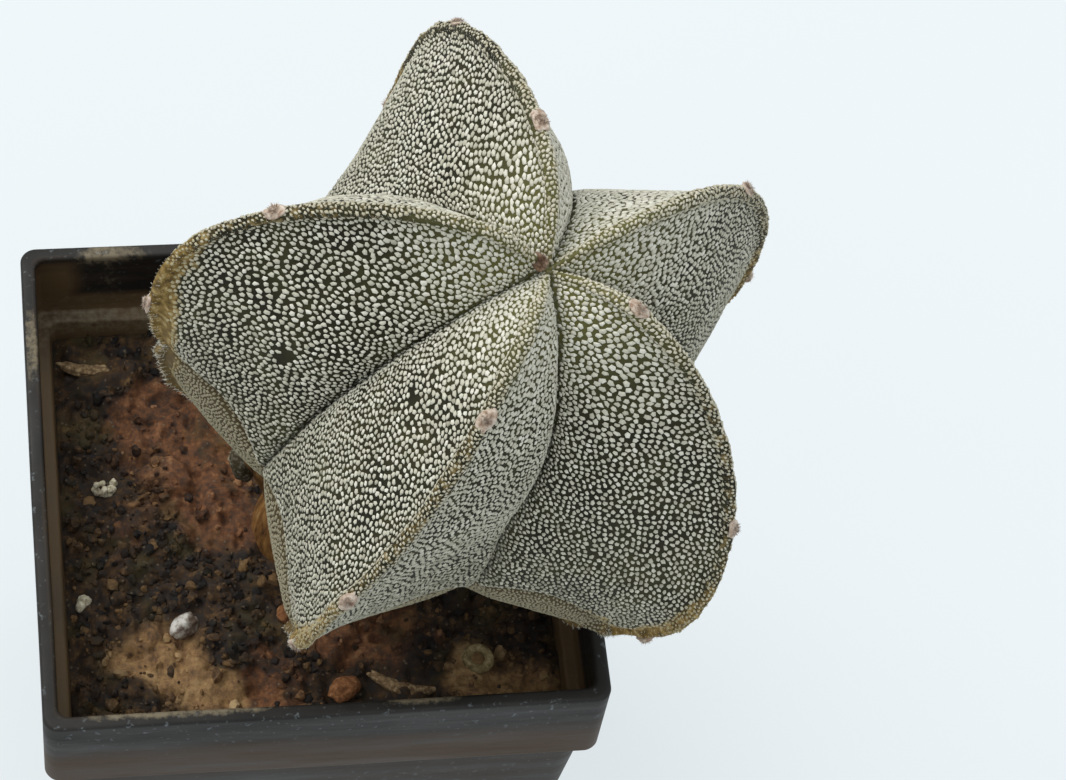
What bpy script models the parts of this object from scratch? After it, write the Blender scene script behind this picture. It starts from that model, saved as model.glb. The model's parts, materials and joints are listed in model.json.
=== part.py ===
"""Potted bishop's cap cactus: a five-ribbed star cactus leaning in a square nursery pot.

Units are metres, +Z is up. The origin is the middle of the pot's underside, +X runs along the
pot's front edge and +Y goes to its back. The pot stands flat at Z = 0.
"""

import itertools
import math
import random

import bmesh
import bpy
import numpy as np
from mathutils import Matrix, Vector, noise

MM = 0.001
GAP = 0.3 * MM
SEAT_GAP = 1.25 * GAP

# The pot: a thin square tub with a stepped collar at its rim
POT_HEIGHT = 80 * MM
RIM_WIDTH = 70 * MM
COLLAR_HEIGHT = 14.8 * MM
COLLAR_DRAFT = 0.1 * MM
COLLAR_STEP = 1.3 * MM
COLLAR_WALL = 1.9 * MM
COLLAR_CORNER = 2.0 * MM
COLLAR_FOOT_CORNER = 2.0 * MM
LEDGE_DEPTH = 12.8 * MM
LEDGE_WIDTH = 1.8 * MM
BODY_CORNER = 3.0 * MM
BASE_WIDTH = 58 * MM
BASE_CORNER = 4.0 * MM
BASE_BEVEL = 0.8 * MM
FLOOR_THICKNESS = 2.0 * MM
EDGE_BEVEL = 0.35 * MM
CORNER_STEPS = 6
DRAIN_COUNT = 8
DRAIN_RADIUS = 3.6 * MM
DRAIN_OFFSET = 14 * MM
DRAIN_SIDES = 20

# The soil: packed compost that ends just under the pot's inner ledge
SOIL_TOP = 65 * MM
SOIL_CELLS = 36
SOIL_SWELL = 0.9 * MM
SOIL_SWELL_LENGTH = 13 * MM
SOIL_RIPPLE = 0.5 * MM
CRUMB_COUNT = 190
CRUMB_RADII = (1.7 * MM, 3.8 * MM)
CRUMB_RISE = 0.5
SOIL_QUIET_RADIUS = 12 * MM
SOIL_EDGE_SLOPE = 4 * MM
SOIL_EDGE_DIP = 0.8 * MM

# The plant's axis runs from its foot in the soil to its sunken apex
APEX = Vector((23.1 * MM, -11.0 * MM, 141.4 * MM))
FOOT = Vector((1.8 * MM, 0.2 * MM, SOIL_TOP))
FIRST_RIB_ANGLE = 99.0
RIB_SPACING = 72.0

# Each rib, clockwise from the back one: reach in mm, drop of its tip as a share of the reach,
# the turn and final sweep of its ridge in degrees, its bow as degrees and the share of the ridge
# where the bow ends, and how far its two flanks swell
RIBS = (
    {"reach": 39.0, "drop": -0.07, "turn": -2.0, "bow": (1.0, 0.85), "sweep": 1.3, "swell": (1.3, 0.1)},
    {"reach": 43.2, "drop": 0.03, "turn": -2.8, "bow": (5.0, 0.85), "sweep": -2.0, "swell": (1.0, 0.4)},
    {"reach": 40.4, "drop": 0.21, "turn": 2.0, "bow": (8.5, 0.75), "sweep": 0.0, "swell": (1.0, 1.0)},
    {"reach": 39.4, "drop": 0.09, "turn": -2.0, "bow": (4.2, 0.7), "sweep": 0.0, "swell": (1.0, 0.6)},
    {"reach": 38.6, "drop": -0.05, "turn": 4.0, "bow": (-5.0, 0.85), "sweep": 0.0, "swell": (1.0, 1.0)},
)
MEAN_REACH = 40.5

# How far out each groove lies, for the groove that follows the rib of the same place in the list
GROOVE_REACH = (1.10, 1.07, 0.97, 1.0, 1.0)

# Profiles in mm: how far out from the axis, and how far below the apex, for a rib of mean reach
RIDGE_HEAD = ((0, 0), (4.9, -3.8), (11.3, -5.6), (20.3, -3.2), (28.4, 2.3), (34.4, 8.6),
              (38.6, 15.3), (40.5, 21.8), (40.5, 28.0), (38.7, 34.2), (35.6, 40.0))
RIDGE_OLD = ((35.6, 40.0), (34.9, 43.2), (31.8, 47.2), (28.2, 50.2), (25.9, 51.4))
RIDGE_STEM = ((25.9, 51.4), (24.0, 54.0), (20.2, 58.0), (16.6, 62.4), (13.4, 67.5),
              (10.2, 72.0), (8.5, 74.6), (8.2, 76.5), (8.2, 80.1))
GROOVE_HEAD = ((0, 0), (4.7, 1.4), (9.3, 5.2), (13.9, 10.2), (17.4, 15.8), (20.0, 22.0),
               (22.4, 27.4), (24.0, 32.0), (24.6, 36.6))
GROOVE_OLD = ((24.6, 36.6), (22.6, 41.6), (19.6, 46.4), (16.9, 50.6))
GROOVE_STEM = ((16.9, 50.6), (15.2, 53.9), (12.9, 58.7), (11.0, 64.0), (9.6, 69.7),
               (8.6, 73.6), (8.2, 76.5), (8.2, 80.1))
ROOT = ((8.2, 80.1), (7.6, 86.0), (7.0, 91.0))
ROWS = (31, 6, 11, 4)
STEM_RADIUS = 8.2 * MM
ROOT_DEPTH = 10.9 * MM
STEM_HOLE_SIDES = 48

# The ribs' skin: each rib has two flanks, and each crease is a line where the plant stopped growing
FLANK_STEPS = 10
RIM_START = 0.955
RIM_RISE = 0.45 * MM
FLANK_SLOPE = 0.6
LOW_FULLNESS = 0.25
CREASE_DEPTH = 0.9 * MM
FLECK_RISE = 0.55 * MM
FLECK_SHARE = 0.24
FLECK_EDGE_ANGLE = 10
CORK_WRINKLE = 0.35 * MM
HEAD_FADE = 1.6
CREASE_BOW_ROWS = 3.2

# Areoles: woolly cushions along each ridge, as shares of the ridge from apex to crease
AREOLES = (
    (0.235, 0.60, 0.92),
    (0.44, 0.79),
    (0.16, 0.57, 0.90),
    (0.32, 0.66, 0.93),
    (0.49, 0.84),
)
AREOLE_RADIUS = 1.25 * MM
AREOLE_FLATNESS = 0.6
CROWN_TUFT_RADIUS = 1.9 * MM

# One old areole still stands out of the stem, below the last rib
STEM_KNOB_RIB = 4
STEM_KNOB_ROW = 42
STEM_KNOB_RADIUS = 2.6 * MM

# Loose bits on the soil: name, kind, place in mm, size in mm, turn in degrees, bend
LOOSE_BITS = (
    ("perlite_1", "perlite", (-25.4, 6.9), (2.0, 1.5, 1.3), 20, 0.0),
    ("perlite_2", "perlite", (-29.0, -9.6), (1.4, 1.1, 1.0), 70, 0.0),
    ("pebble_grey", "pebble", (-16.3, -13.8), (2.0, 1.5, 1.4), 40, 0.0),
    ("clay_bit_1", "clay", (3.4, -24.0), (2.2, 1.6, 1.3), 30, 0.0),
    ("clay_bit_2", "clay", (-3.0, -13.2), (1.6, 1.3, 1.2), 0, 0.0),
    ("bark_sliver", "bark", (10.4, -24.2), (4.6, 0.9, 0.8), -20, 1.1),
    ("bark_strip", "bark", (-26.8, 25.0), (4.4, 0.9, 0.7), -8, 1.1),
)
BIT_KNOBS = 0.22
HUSK_PLACE = (20.7 * MM, -21.2 * MM)
HUSK_RADIUS = 1.5 * MM
HUSK_THICKNESS = 0.62 * MM
BIT_SINK = 0.35


def smooth_step(low, high, value):
    share = min(max((value - low) / (high - low), 0.0), 1.0)
    return share * share * (3 - 2 * share)


# Materials


def srgb(hex_colour):
    """Linear red, green, blue and alpha of an sRGB hex colour."""
    channels = [int(hex_colour[i:i + 2], 16) / 255 for i in (0, 2, 4)]
    linear = [c / 12.92 if c <= 0.04045 else ((c + 0.055) / 1.055) ** 2.4 for c in channels]
    return (*linear, 1.0)


def material(name, hex_colour, roughness):
    made = bpy.data.materials.new(name)
    made.use_nodes = True
    shader = made.node_tree.nodes["Principled BSDF"]
    shader.inputs["Base Color"].default_value = srgb(hex_colour)
    shader.inputs["Roughness"].default_value = roughness
    shader.inputs["Metallic"].default_value = 0.0
    made.diffuse_color = srgb(hex_colour)
    return made


# Objects


def add_object(name, mesh, surface, parent):
    mesh.materials.append(surface)
    made = bpy.data.objects.new(name, mesh)
    bpy.context.scene.collection.objects.link(made)
    made.parent = parent
    return made


def mesh_from(name, points, faces):
    """A mesh with its faces turned outward."""
    mesh = bpy.data.meshes.new(name)
    mesh.from_pydata([tuple(p) for p in points], [], faces)
    made = bmesh.new()
    made.from_mesh(mesh)
    bmesh.ops.recalc_face_normals(made, faces=made.faces)
    made.to_mesh(mesh)
    made.free()
    return mesh


def shade(mesh, sharp_degrees):
    mesh.shade_smooth()
    mesh.set_sharp_from_angle(angle=math.radians(sharp_degrees))


def combine(target, other, operation):
    """Applies one Boolean with an object or a collection, then leaves the result in the target."""
    cut = target.modifiers.new(operation.title(), "BOOLEAN")
    cut.operation = operation
    cut.solver = "EXACT"
    if isinstance(other, bpy.types.Collection):
        cut.operand_type = "COLLECTION"
        cut.collection = other
    else:
        cut.object = other
    bpy.context.view_layer.update()
    graph = bpy.context.evaluated_depsgraph_get()
    result = bpy.data.meshes.new_from_object(target.evaluated_get(graph))
    target.modifiers.remove(cut)
    plain = target.data
    target.data = result
    result.name = target.name
    bpy.data.meshes.remove(plain)


def helper_collection(name):
    made = bpy.data.collections.new(name)
    bpy.context.scene.collection.children.link(made)
    made.hide_render = True
    return made


def add_helper(collection, name, mesh):
    made = bpy.data.objects.new(name, mesh)
    collection.objects.link(made)
    made.hide_render = True
    made.display_type = "WIRE"
    return made


def remove_helpers(collection):
    for helper in list(collection.objects):
        bpy.data.objects.remove(helper)
    bpy.data.collections.remove(collection)


# Rounded-square loops


def rounded_square(half_width, corner, height):
    """Points round a square with rounded corners, anticlockwise from its +X side."""
    points = []
    centre = half_width - corner
    for quarter in range(4):
        sign_x = (1, -1, -1, 1)[quarter]
        sign_y = (1, 1, -1, -1)[quarter]
        for step in range(CORNER_STEPS + 1):
            angle = math.radians(90 * quarter + 90 * step / CORNER_STEPS)
            x = sign_x * centre + corner * math.cos(angle)
            y = sign_y * centre + corner * math.sin(angle)
            points.append(Vector((x, y, height)))
    return points


def loft(loops):
    """Points and faces of the skin through the loops, closed flat at both ends."""
    around = len(loops[0])
    points = [p for loop in loops for p in loop]
    faces = []
    for level in range(len(loops) - 1):
        for i in range(around):
            j = (i + 1) % around
            low = level * around
            high = low + around
            faces.append((low + i, low + j, high + j, high + i))
    faces.append(tuple(reversed(range(around))))
    faces.append(tuple(range(len(points) - around, len(points))))
    return points, faces


# The pot


def body_half_width(height):
    """Outer half width of the tapered body at a height."""
    share = height / (POT_HEIGHT - COLLAR_HEIGHT)
    top = RIM_WIDTH / 2 - COLLAR_DRAFT - COLLAR_STEP
    return BASE_WIDTH / 2 + share * (top - BASE_WIDTH / 2)


def inner_half_width(height):
    """Inner half width of the body's wall at a height."""
    ledge = RIM_WIDTH / 2 - COLLAR_WALL - LEDGE_WIDTH
    foot = body_half_width(POT_HEIGHT - COLLAR_HEIGHT)
    wall = foot - ledge
    return body_half_width(height) - wall


def body_corner(height):
    share = height / (POT_HEIGHT - COLLAR_HEIGHT)
    return BASE_CORNER + share * (BODY_CORNER - BASE_CORNER)


def make_pot(surface, parent):
    rim = RIM_WIDTH / 2
    collar_foot = POT_HEIGHT - COLLAR_HEIGHT
    ledge = POT_HEIGHT - LEDGE_DEPTH
    inner = rim - COLLAR_WALL
    wall = body_half_width(0) - inner_half_width(0)
    loops = [
        rounded_square(body_half_width(0) - BASE_BEVEL, BASE_CORNER - BASE_BEVEL, 0),
        rounded_square(body_half_width(BASE_BEVEL), BASE_CORNER, BASE_BEVEL),
        rounded_square(body_half_width(collar_foot), BODY_CORNER, collar_foot),
        rounded_square(rim - COLLAR_DRAFT - EDGE_BEVEL, COLLAR_FOOT_CORNER, collar_foot),
        rounded_square(rim - COLLAR_DRAFT, COLLAR_FOOT_CORNER, collar_foot + EDGE_BEVEL),
        rounded_square(rim, COLLAR_CORNER, POT_HEIGHT - EDGE_BEVEL),
        rounded_square(rim - EDGE_BEVEL, COLLAR_CORNER - EDGE_BEVEL / 2, POT_HEIGHT),
        rounded_square(inner + EDGE_BEVEL, COLLAR_CORNER / 2 + EDGE_BEVEL, POT_HEIGHT),
        rounded_square(inner, COLLAR_CORNER / 2, POT_HEIGHT - EDGE_BEVEL),
        rounded_square(inner, COLLAR_CORNER / 2, ledge),
        rounded_square(inner_half_width(ledge), BODY_CORNER - wall, ledge),
        rounded_square(inner_half_width(FLOOR_THICKNESS), BASE_CORNER - wall, FLOOR_THICKNESS),
    ]
    pot = add_object("pot", mesh_from("pot", *loft(loops)), surface, parent)
    drains = helper_collection("drains")
    for turn in range(DRAIN_COUNT):
        angle = math.radians(360 * turn / DRAIN_COUNT)
        reach = DRAIN_OFFSET * (1 if turn % 2 == 0 else math.sqrt(2))
        place = Vector((reach * math.cos(angle), reach * math.sin(angle), FLOOR_THICKNESS / 2))
        made = bmesh.new()
        bmesh.ops.create_cone(made, cap_ends=True, segments=DRAIN_SIDES, radius1=DRAIN_RADIUS,
                              radius2=DRAIN_RADIUS, depth=3 * FLOOR_THICKNESS,
                              matrix=Matrix.Translation(place))
        mesh = bpy.data.meshes.new("drain")
        made.to_mesh(mesh)
        made.free()
        add_helper(drains, f"drain_{turn}", mesh)
    combine(pot, drains, "DIFFERENCE")
    remove_helpers(drains)
    shade(pot.data, 30)
    return pot


# The soil


def crumb_places():
    """Seeded crumbs: x, y, radius of each, spread over the soil's top."""
    draw = random.Random(7)
    reach = inner_half_width(SOIL_TOP)
    crumbs = []
    for _ in range(CRUMB_COUNT):
        x = draw.uniform(-reach, reach)
        y = draw.uniform(-reach, reach)
        radius = CRUMB_RADII[0] + (CRUMB_RADII[1] - CRUMB_RADII[0]) * draw.random() ** 2
        crumbs.append((x, y, radius))
    return crumbs


def soil_height(x, y, crumbs):
    """Height of the soil's surface: a gentle swell with round crumbs standing out of it."""
    spot = Vector((x, y, 0)) / SOIL_SWELL_LENGTH
    swell = SOIL_SWELL * noise.noise(spot) + SOIL_RIPPLE * noise.noise(spot * 4.1)
    crumb = 0.0
    for cx, cy, radius in crumbs:
        share = ((x - cx) ** 2 + (y - cy) ** 2) / radius ** 2
        if share < 1:
            crumb = max(crumb, radius * CRUMB_RISE * math.sqrt(1 - share))
    from_stem = math.hypot(x - FOOT.x, y - FOOT.y)
    calm = smooth_step(SOIL_QUIET_RADIUS * 0.7, SOIL_QUIET_RADIUS * 1.3, from_stem)
    to_wall = inner_half_width(SOIL_TOP) - max(abs(x), abs(y))
    edge = SOIL_EDGE_DIP * (1 - smooth_step(0, SOIL_EDGE_SLOPE, to_wall))
    return SOIL_TOP - SOIL_RIPPLE + (swell + crumb - edge) * calm


def soil_outline(x_share, y_share, half_width, corner):
    """Where a ray through a unit square's border point meets a square with rounded corners."""
    x = x_share * half_width
    y = y_share * half_width
    centre = half_width - corner
    if abs(x) <= centre or abs(y) <= centre:
        return Vector((x, y))
    ray = Vector((abs(x), abs(y))).normalized()
    along = ray.x * centre + ray.y * centre
    reach = along + math.sqrt(along ** 2 - 2 * centre ** 2 + corner ** 2)
    return Vector((math.copysign(ray.x * reach, x), math.copysign(ray.y * reach, y)))


def soil_mesh(crumbs):
    half = inner_half_width(SOIL_TOP) - GAP
    corner = body_corner(SOIL_TOP) - (body_half_width(0) - inner_half_width(0))
    points = []
    index = {}
    for row in range(SOIL_CELLS + 1):
        for column in range(SOIL_CELLS + 1):
            u = 2 * column / SOIL_CELLS - 1
            v = 2 * row / SOIL_CELLS - 1
            size = max(abs(u), abs(v))
            spot = Vector((0, 0))
            if size > 0:
                spot = soil_outline(u / size, v / size, half, corner) * size
            index[row, column] = len(points)
            points.append((spot.x, spot.y, soil_height(spot.x, spot.y, crumbs)))
    faces = []
    for row in range(SOIL_CELLS):
        for column in range(SOIL_CELLS):
            a = index[row, column]
            b = index[row, column + 1]
            c = index[row + 1, column + 1]
            d = index[row + 1, column]
            faces += [(a, b, c), (a, c, d)]
    last = SOIL_CELLS
    border = [index[0, i] for i in range(last)]
    border += [index[i, last] for i in range(last)]
    border += [index[last, last - i] for i in range(last)]
    border += [index[last - i, 0] for i in range(last)]
    floor = FLOOR_THICKNESS + GAP
    shrink = (inner_half_width(floor) - GAP) / half
    lower = []
    for i in border:
        x, y, _ = points[i]
        lower.append(len(points))
        points.append((x * shrink, y * shrink, floor))
    for i in range(len(border)):
        j = (i + 1) % len(border)
        faces += [(border[i], lower[i], lower[j]), (border[i], lower[j], border[j])]
    faces.append(tuple(lower))
    return mesh_from("soil", points, faces)


def make_soil(surface, parent, crumbs, seats):
    """The soil with a plain hole for the plant's foot and a shallow seat for each loose bit."""
    soil = add_object("soil", soil_mesh(crumbs), surface, parent)
    cutters = helper_collection("soil_cutters")
    add_helper(cutters, "stem_hole", stem_hole_mesh())
    for name, mesh in seats:
        add_helper(cutters, name, mesh)
    combine(soil, cutters, "DIFFERENCE")
    remove_helpers(cutters)
    shade(soil.data, 40)
    return soil


# The plant


def plant_frame():
    """Two directions across the plant's axis, and the axis itself."""
    up = (APEX - FOOT).normalized()
    side = Vector((0, 1, 0)).cross(up).normalized()
    return side, up.cross(side), up


def along_curve(knots, count, share_end):
    """Even steps along a smooth curve through the knots, as rows of (out, down) in metres."""
    p = np.array(knots, float) * MM
    p = np.vstack([2 * p[0] - p[1], p, 2 * p[-1] - p[-2]])
    t = np.linspace(0, 1, 24, endpoint=False)[:, None]
    dense = []
    for a, b, c, d in zip(p[:-3], p[1:-2], p[2:-1], p[3:]):
        cubic = 3 * (b - c) + d - a
        square = 2 * a - 5 * b + 4 * c - d
        dense.append(b + 0.5 * t * (c - a + t * (square + t * cubic)))
    dense = np.vstack(dense + [p[-2:-1]])
    length = np.concatenate([[0], np.cumsum(np.linalg.norm(np.diff(dense, axis=0), axis=1))])
    wanted = np.linspace(0, share_end, count) * length[-1]
    return np.stack([np.interp(wanted, length, dense[:, k]) for k in (0, 1)], -1)


def stacked(parts):
    """The profile's parts one under the other. Each part but the last stops just short of the next."""
    rows = []
    for number, (knots, count) in enumerate(zip(parts, ROWS)):
        last = number == len(parts) - 1
        rows.append(along_curve(knots, count, 1.0 if last else 1 - 0.4 / count))
    return np.vstack(rows)


def rib_angle(rib, share):
    """Angle of a ridge round the axis, in radians, at a share of the way from apex to crease."""
    values = RIBS[rib % len(RIBS)]
    degrees, end = values["bow"]
    bow = degrees * math.sin(math.pi * min(share / end, 1.0))
    sweep = values["sweep"] * smooth_step(0.35, 1.0, share)
    return math.radians(FIRST_RIB_ANGLE - RIB_SPACING * rib + values["turn"] + bow + sweep)


def groove_angle(groove, share):
    """A groove lies midway between its rib and the next."""
    return (rib_angle(groove, share) + rib_angle(groove + 1, share)) / 2


def place_on_plant(out, down, angle, frame):
    side, away, up = frame
    return APEX + out * (math.cos(angle) * side + math.sin(angle) * away) - down * up


def ridge_values(rib, out, down, head):
    """Out and down of one rib's ridge. Its own reach and drop fade out down the stem."""
    values = RIBS[rib]
    scale = 1 + head * (values["reach"] / MEAN_REACH - 1)
    drop = values["drop"] * head * (out / (MEAN_REACH * MM)) ** 2 * MEAN_REACH * MM
    return out * scale, down * scale + drop


def flank_shares():
    """Places across a flank from groove, 0, to ridge, 1. The last step is the ridge's narrow rim."""
    inner = [RIM_START * 0.9 * i / (FLANK_STEPS - 2) for i in range(FLANK_STEPS - 1)]
    return inner + [RIM_START, 1.0]


def row_kind(row):
    """Which part of the profile a row is in, and its share of the way down that part."""
    for part, count in enumerate(ROWS):
        if row < count:
            return part, row / count
        row -= count
    return len(ROWS) - 1, 1.0


def flank_column(rib, side, step):
    """Column of a step across a flank. Columns run clockwise, from each ridge to the next."""
    return (rib * 2 * FLANK_STEPS + side * (FLANK_STEPS - step)) % (len(RIBS) * 2 * FLANK_STEPS)


def bowed_row(row, u):
    """A row rises in the middle of each flank near the crease, as the growth line does."""
    crease, old_end = ROWS[0], ROWS[0] + ROWS[1]
    near = smooth_step(0.35 * crease, crease, row) * (1 - smooth_step(crease, old_end, row))
    return row - CREASE_BOW_ROWS * near * math.sin(math.pi * u ** 0.8)


def profile_at(profile, row):
    low = min(int(row), len(profile) - 2)
    return (profile[low] + (row - low) * (profile[low + 1] - profile[low])).tolist()


def plant_surface():
    """The plant's skin as a grid of points: rows down the plant, columns round it."""
    ridge = stacked((RIDGE_HEAD, RIDGE_OLD, RIDGE_STEM, ROOT))
    groove = stacked((GROOVE_HEAD, GROOVE_OLD, GROOVE_STEM, ROOT))
    frame = plant_frame()
    columns = len(RIBS) * 2 * FLANK_STEPS
    base = np.zeros((len(ridge), columns, 3))
    across = np.zeros(columns)
    flanks = itertools.product(range(len(RIBS)), (1, -1), enumerate(flank_shares()))
    for rib, side, (step, u) in flanks:
        column = flank_column(rib, side, step)
        valley = rib if side > 0 else rib - 1
        across[column] = u
        for row in range(len(ridge)):
            place = bowed_row(row, u)
            part, share = row_kind(place)
            turn_share = share if part == 0 else 1.0
            head = 1.0 if part == 0 else max(0.0, 1 - (part - 1 + share) / HEAD_FADE)
            out, down = ridge_values(rib, *profile_at(ridge, place), head)
            angle = rib_angle(rib, turn_share)
            low_out, low_down = profile_at(groove, place)
            low_out *= 1 + head * (GROOVE_REACH[valley] - 1)
            low_angle = groove_angle(valley, turn_share)
            high = place_on_plant(out, down, angle, frame)
            chord = place_on_plant(low_out, low_down, low_angle, frame).lerp(high, u)
            arc = place_on_plant(low_out + u * (out - low_out), low_down + u * (down - low_down),
                                 low_angle + u * (angle - low_angle), frame)
            roundness = (0.0, 0.0, smooth_step(0.35, 0.85, share), 1.0)[part]
            base[row, column] = chord.lerp(arc, roundness)
    return base, across


def surface_normals(grid):
    """Outward direction at each point of the grid."""
    down = np.gradient(grid, axis=0)
    round_it = np.roll(grid, -1, axis=1) - np.roll(grid, 1, axis=1)
    normal = np.cross(down, round_it)
    length = np.linalg.norm(normal, axis=2, keepdims=True)
    normal = normal / np.maximum(length, 1e-12)
    centre = np.array(FOOT) + np.array([0, 0, 20 * MM])
    outward = ((grid - centre) * normal).sum() > 0
    return normal if outward else -normal


def fullness(part, share):
    """How far the flanks swell at a row: most in the middle, and little at the apex and below the crease."""
    if part == 0:
        rising = 0.25 + 0.75 * smooth_step(0.12, 0.5, share)
        return rising * (1 - (1 - LOW_FULLNESS) * smooth_step(0.55, 1.0, share))
    if part == 1:
        return LOW_FULLNESS
    return LOW_FULLNESS * (1 - smooth_step(0.0, 0.5, share)) if part == 2 else 0.0


def flank_swell(column):
    """How far the flank that holds a column swells, against the usual."""
    rib, place = divmod(column, 2 * FLANK_STEPS)
    if place <= FLANK_STEPS:
        return RIBS[rib]["swell"][0]
    return RIBS[(rib + 1) % len(RIBS)]["swell"][1]


def plant_grid():
    """The smooth skin, and the skin with its swelling, creases, rims and flecks."""
    base, across = plant_surface()
    normals = surface_normals(base)
    rows, columns, _ = base.shape
    grid = base.copy()
    draw = random.Random(11)
    first_rows = set(np.cumsum(ROWS[:2]).tolist())
    for row in range(rows):
        part, share = row_kind(row)
        pitch = np.linalg.norm(np.roll(base[row], -1, axis=0) - base[row], axis=1)
        flank = pitch.sum() / (2 * len(RIBS))
        for column in range(columns):
            u = across[column]
            swell = FLANK_SLOPE * flank_swell(column) * flank * fullness(part, share)
            lift = swell * u * (1 - u) ** 2
            if row in first_rows:
                lift -= CREASE_DEPTH * (0.4 + 0.6 * math.sin(math.pi * u))
            if u == 1 and part < 2:
                lift += RIM_RISE * min(1.0, flank / (8 * MM))
            jitter = draw.uniform(0.6, 1.0)
            by_crease = any(abs(row - crease) < 2 for crease in first_rows)
            if 0 < u < RIM_START and (row + column) % 2 == 0 and part < 2 and not by_crease:
                lift += jitter * min(FLECK_RISE, FLECK_SHARE * pitch[column])
            if part == 2:
                spot = Vector(base[row, column]) / (3 * MM)
                fade = smooth_step(0, 0.2, share) * (1 - smooth_step(0.7, 0.85, share))
                lift += CORK_WRINKLE * fade * noise.noise(Vector((spot.x, spot.y, 2.2 * spot.z)))
            grid[row, column] += lift * normals[row, column]
    return base, grid


def plant_mesh(grid):
    """Skin faces. Each raised fleck is the top of a four-sided bump, so the quads split round it."""
    rows, columns, _ = grid.shape
    points = [tuple(APEX)]
    points += [tuple(p) for row in range(1, rows) for p in grid[row]]
    root_end = len(points)
    points.append(tuple(grid[-1].mean(axis=0)))

    def index(row, column):
        return 1 + (row - 1) * columns + column % columns

    faces = []
    for column in range(columns):
        faces.append((0, index(1, column), index(1, column + 1)))
        faces.append((root_end, index(rows - 1, column + 1), index(rows - 1, column)))
    for row in range(1, rows - 1):
        for column in range(columns):
            a = index(row, column)
            b = index(row, column + 1)
            c = index(row + 1, column + 1)
            d = index(row + 1, column)
            if (row + column) % 2 == 0:
                faces += [(a, b, d), (b, c, d)]
            else:
                faces += [(a, b, c), (a, c, d)]
    return mesh_from("cactus_body", points, faces)


def tuft_mesh(name, centre, normal, radius):
    """A flattened ball that lies on the skin."""
    made = bmesh.new()
    bmesh.ops.create_icosphere(made, subdivisions=1, radius=radius)
    turn = Vector((0, 0, 1)).rotation_difference(Vector(normal)).to_matrix().to_4x4()
    flat = Matrix.Diagonal((1, 1, AREOLE_FLATNESS, 1))
    made.transform(Matrix.Translation(centre) @ turn @ flat)
    mesh = bpy.data.meshes.new(name)
    made.to_mesh(mesh)
    made.free()
    return mesh


def make_cactus(surface, parent):
    base, grid = plant_grid()
    cactus = add_object("cactus_body", plant_mesh(grid), surface, parent)
    normals = surface_normals(base)
    tufts = helper_collection("areoles")
    for rib, shares in enumerate(AREOLES):
        column = flank_column(rib, 1, FLANK_STEPS)
        for share in shares:
            place = share * ROWS[0]
            row = int(place)
            spot = grid[row, column] + (place - row) * (grid[row + 1, column] - grid[row, column])
            mesh = tuft_mesh("areole", Vector(spot), normals[row, column], AREOLE_RADIUS)
            add_helper(tufts, f"areole_{rib}_{row}", mesh)
    crown = tuft_mesh("crown", APEX, plant_frame()[2], CROWN_TUFT_RADIUS)
    add_helper(tufts, "crown_tuft", crown)
    column = flank_column(STEM_KNOB_RIB, 1, FLANK_STEPS)
    knob = tuft_mesh("knob", Vector(grid[STEM_KNOB_ROW, column]), normals[STEM_KNOB_ROW, column],
                     STEM_KNOB_RADIUS)
    add_helper(tufts, "stem_knob", knob)
    combine(cactus, tufts, "UNION")
    remove_helpers(tufts)
    shade(cactus.data, FLECK_EDGE_ANGLE)
    return cactus


def stem_hole_mesh():
    """A plain round hole along the plant's axis, a gap wider and deeper than the foot."""
    _, _, up = plant_frame()
    above = 8 * MM
    below = ROOT_DEPTH + GAP
    made = bmesh.new()
    radius = (STEM_RADIUS + GAP) / math.cos(math.pi / STEM_HOLE_SIDES)
    middle = FOOT + up * (above - below) / 2
    turn = Vector((0, 0, 1)).rotation_difference(up).to_matrix().to_4x4()
    bmesh.ops.create_cone(made, cap_ends=True, segments=STEM_HOLE_SIDES, radius1=radius,
                          radius2=radius, depth=above + below,
                          matrix=Matrix.Translation(middle) @ turn)
    mesh = bpy.data.meshes.new("stem_hole")
    made.to_mesh(mesh)
    made.free()
    return mesh


# Loose bits on the soil


def lump_mesh(name, centre, size, turn_degrees, seed, swollen, bend):
    """A knobbly lump. Swollen by a little more than the gap, it is the lump's seat in the soil."""
    draw = random.Random(seed)
    shift = Vector([draw.uniform(0, 40) for _ in range(3)])
    made = bmesh.new()
    bmesh.ops.create_icosphere(made, subdivisions=2, radius=1)
    for vertex in made.verts:
        knob = 1 + BIT_KNOBS * noise.noise(vertex.co * 1.4 + shift)
        x, y, z = vertex.co * knob
        x, y, z = x * size[0] * MM, y * size[1] * MM, z * size[2] * MM
        out = Vector((x, y, z)).normalized() * swollen
        vertex.co = Vector((x, y + bend * (x / (size[0] * MM)) ** 2 * MM, z)) + out
    turn = Matrix.Rotation(math.radians(turn_degrees), 4, "Z")
    made.transform(Matrix.Translation(centre) @ turn)
    mesh = bpy.data.meshes.new(name)
    made.to_mesh(mesh)
    made.free()
    return mesh


def husk_mesh(name, centre, swollen):
    """A small ring lying on the soil."""
    thick = HUSK_THICKNESS + swollen
    around = 20
    sides = 8
    loops = []
    for i in range(around):
        angle = 2 * math.pi * i / around
        for j in range(sides):
            tilt = 2 * math.pi * j / sides
            reach = HUSK_RADIUS + thick * math.cos(tilt)
            loops.append(centre + Vector((reach * math.cos(angle), reach * math.sin(angle),
                                          thick * math.sin(tilt))))
    faces = []
    for i in range(around):
        for j in range(sides):
            a = i * sides + j
            b = i * sides + (j + 1) % sides
            c = ((i + 1) % around) * sides + (j + 1) % sides
            d = ((i + 1) % around) * sides + j
            faces.append((a, b, c, d))
    return mesh_from(name, loops, faces)


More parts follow.
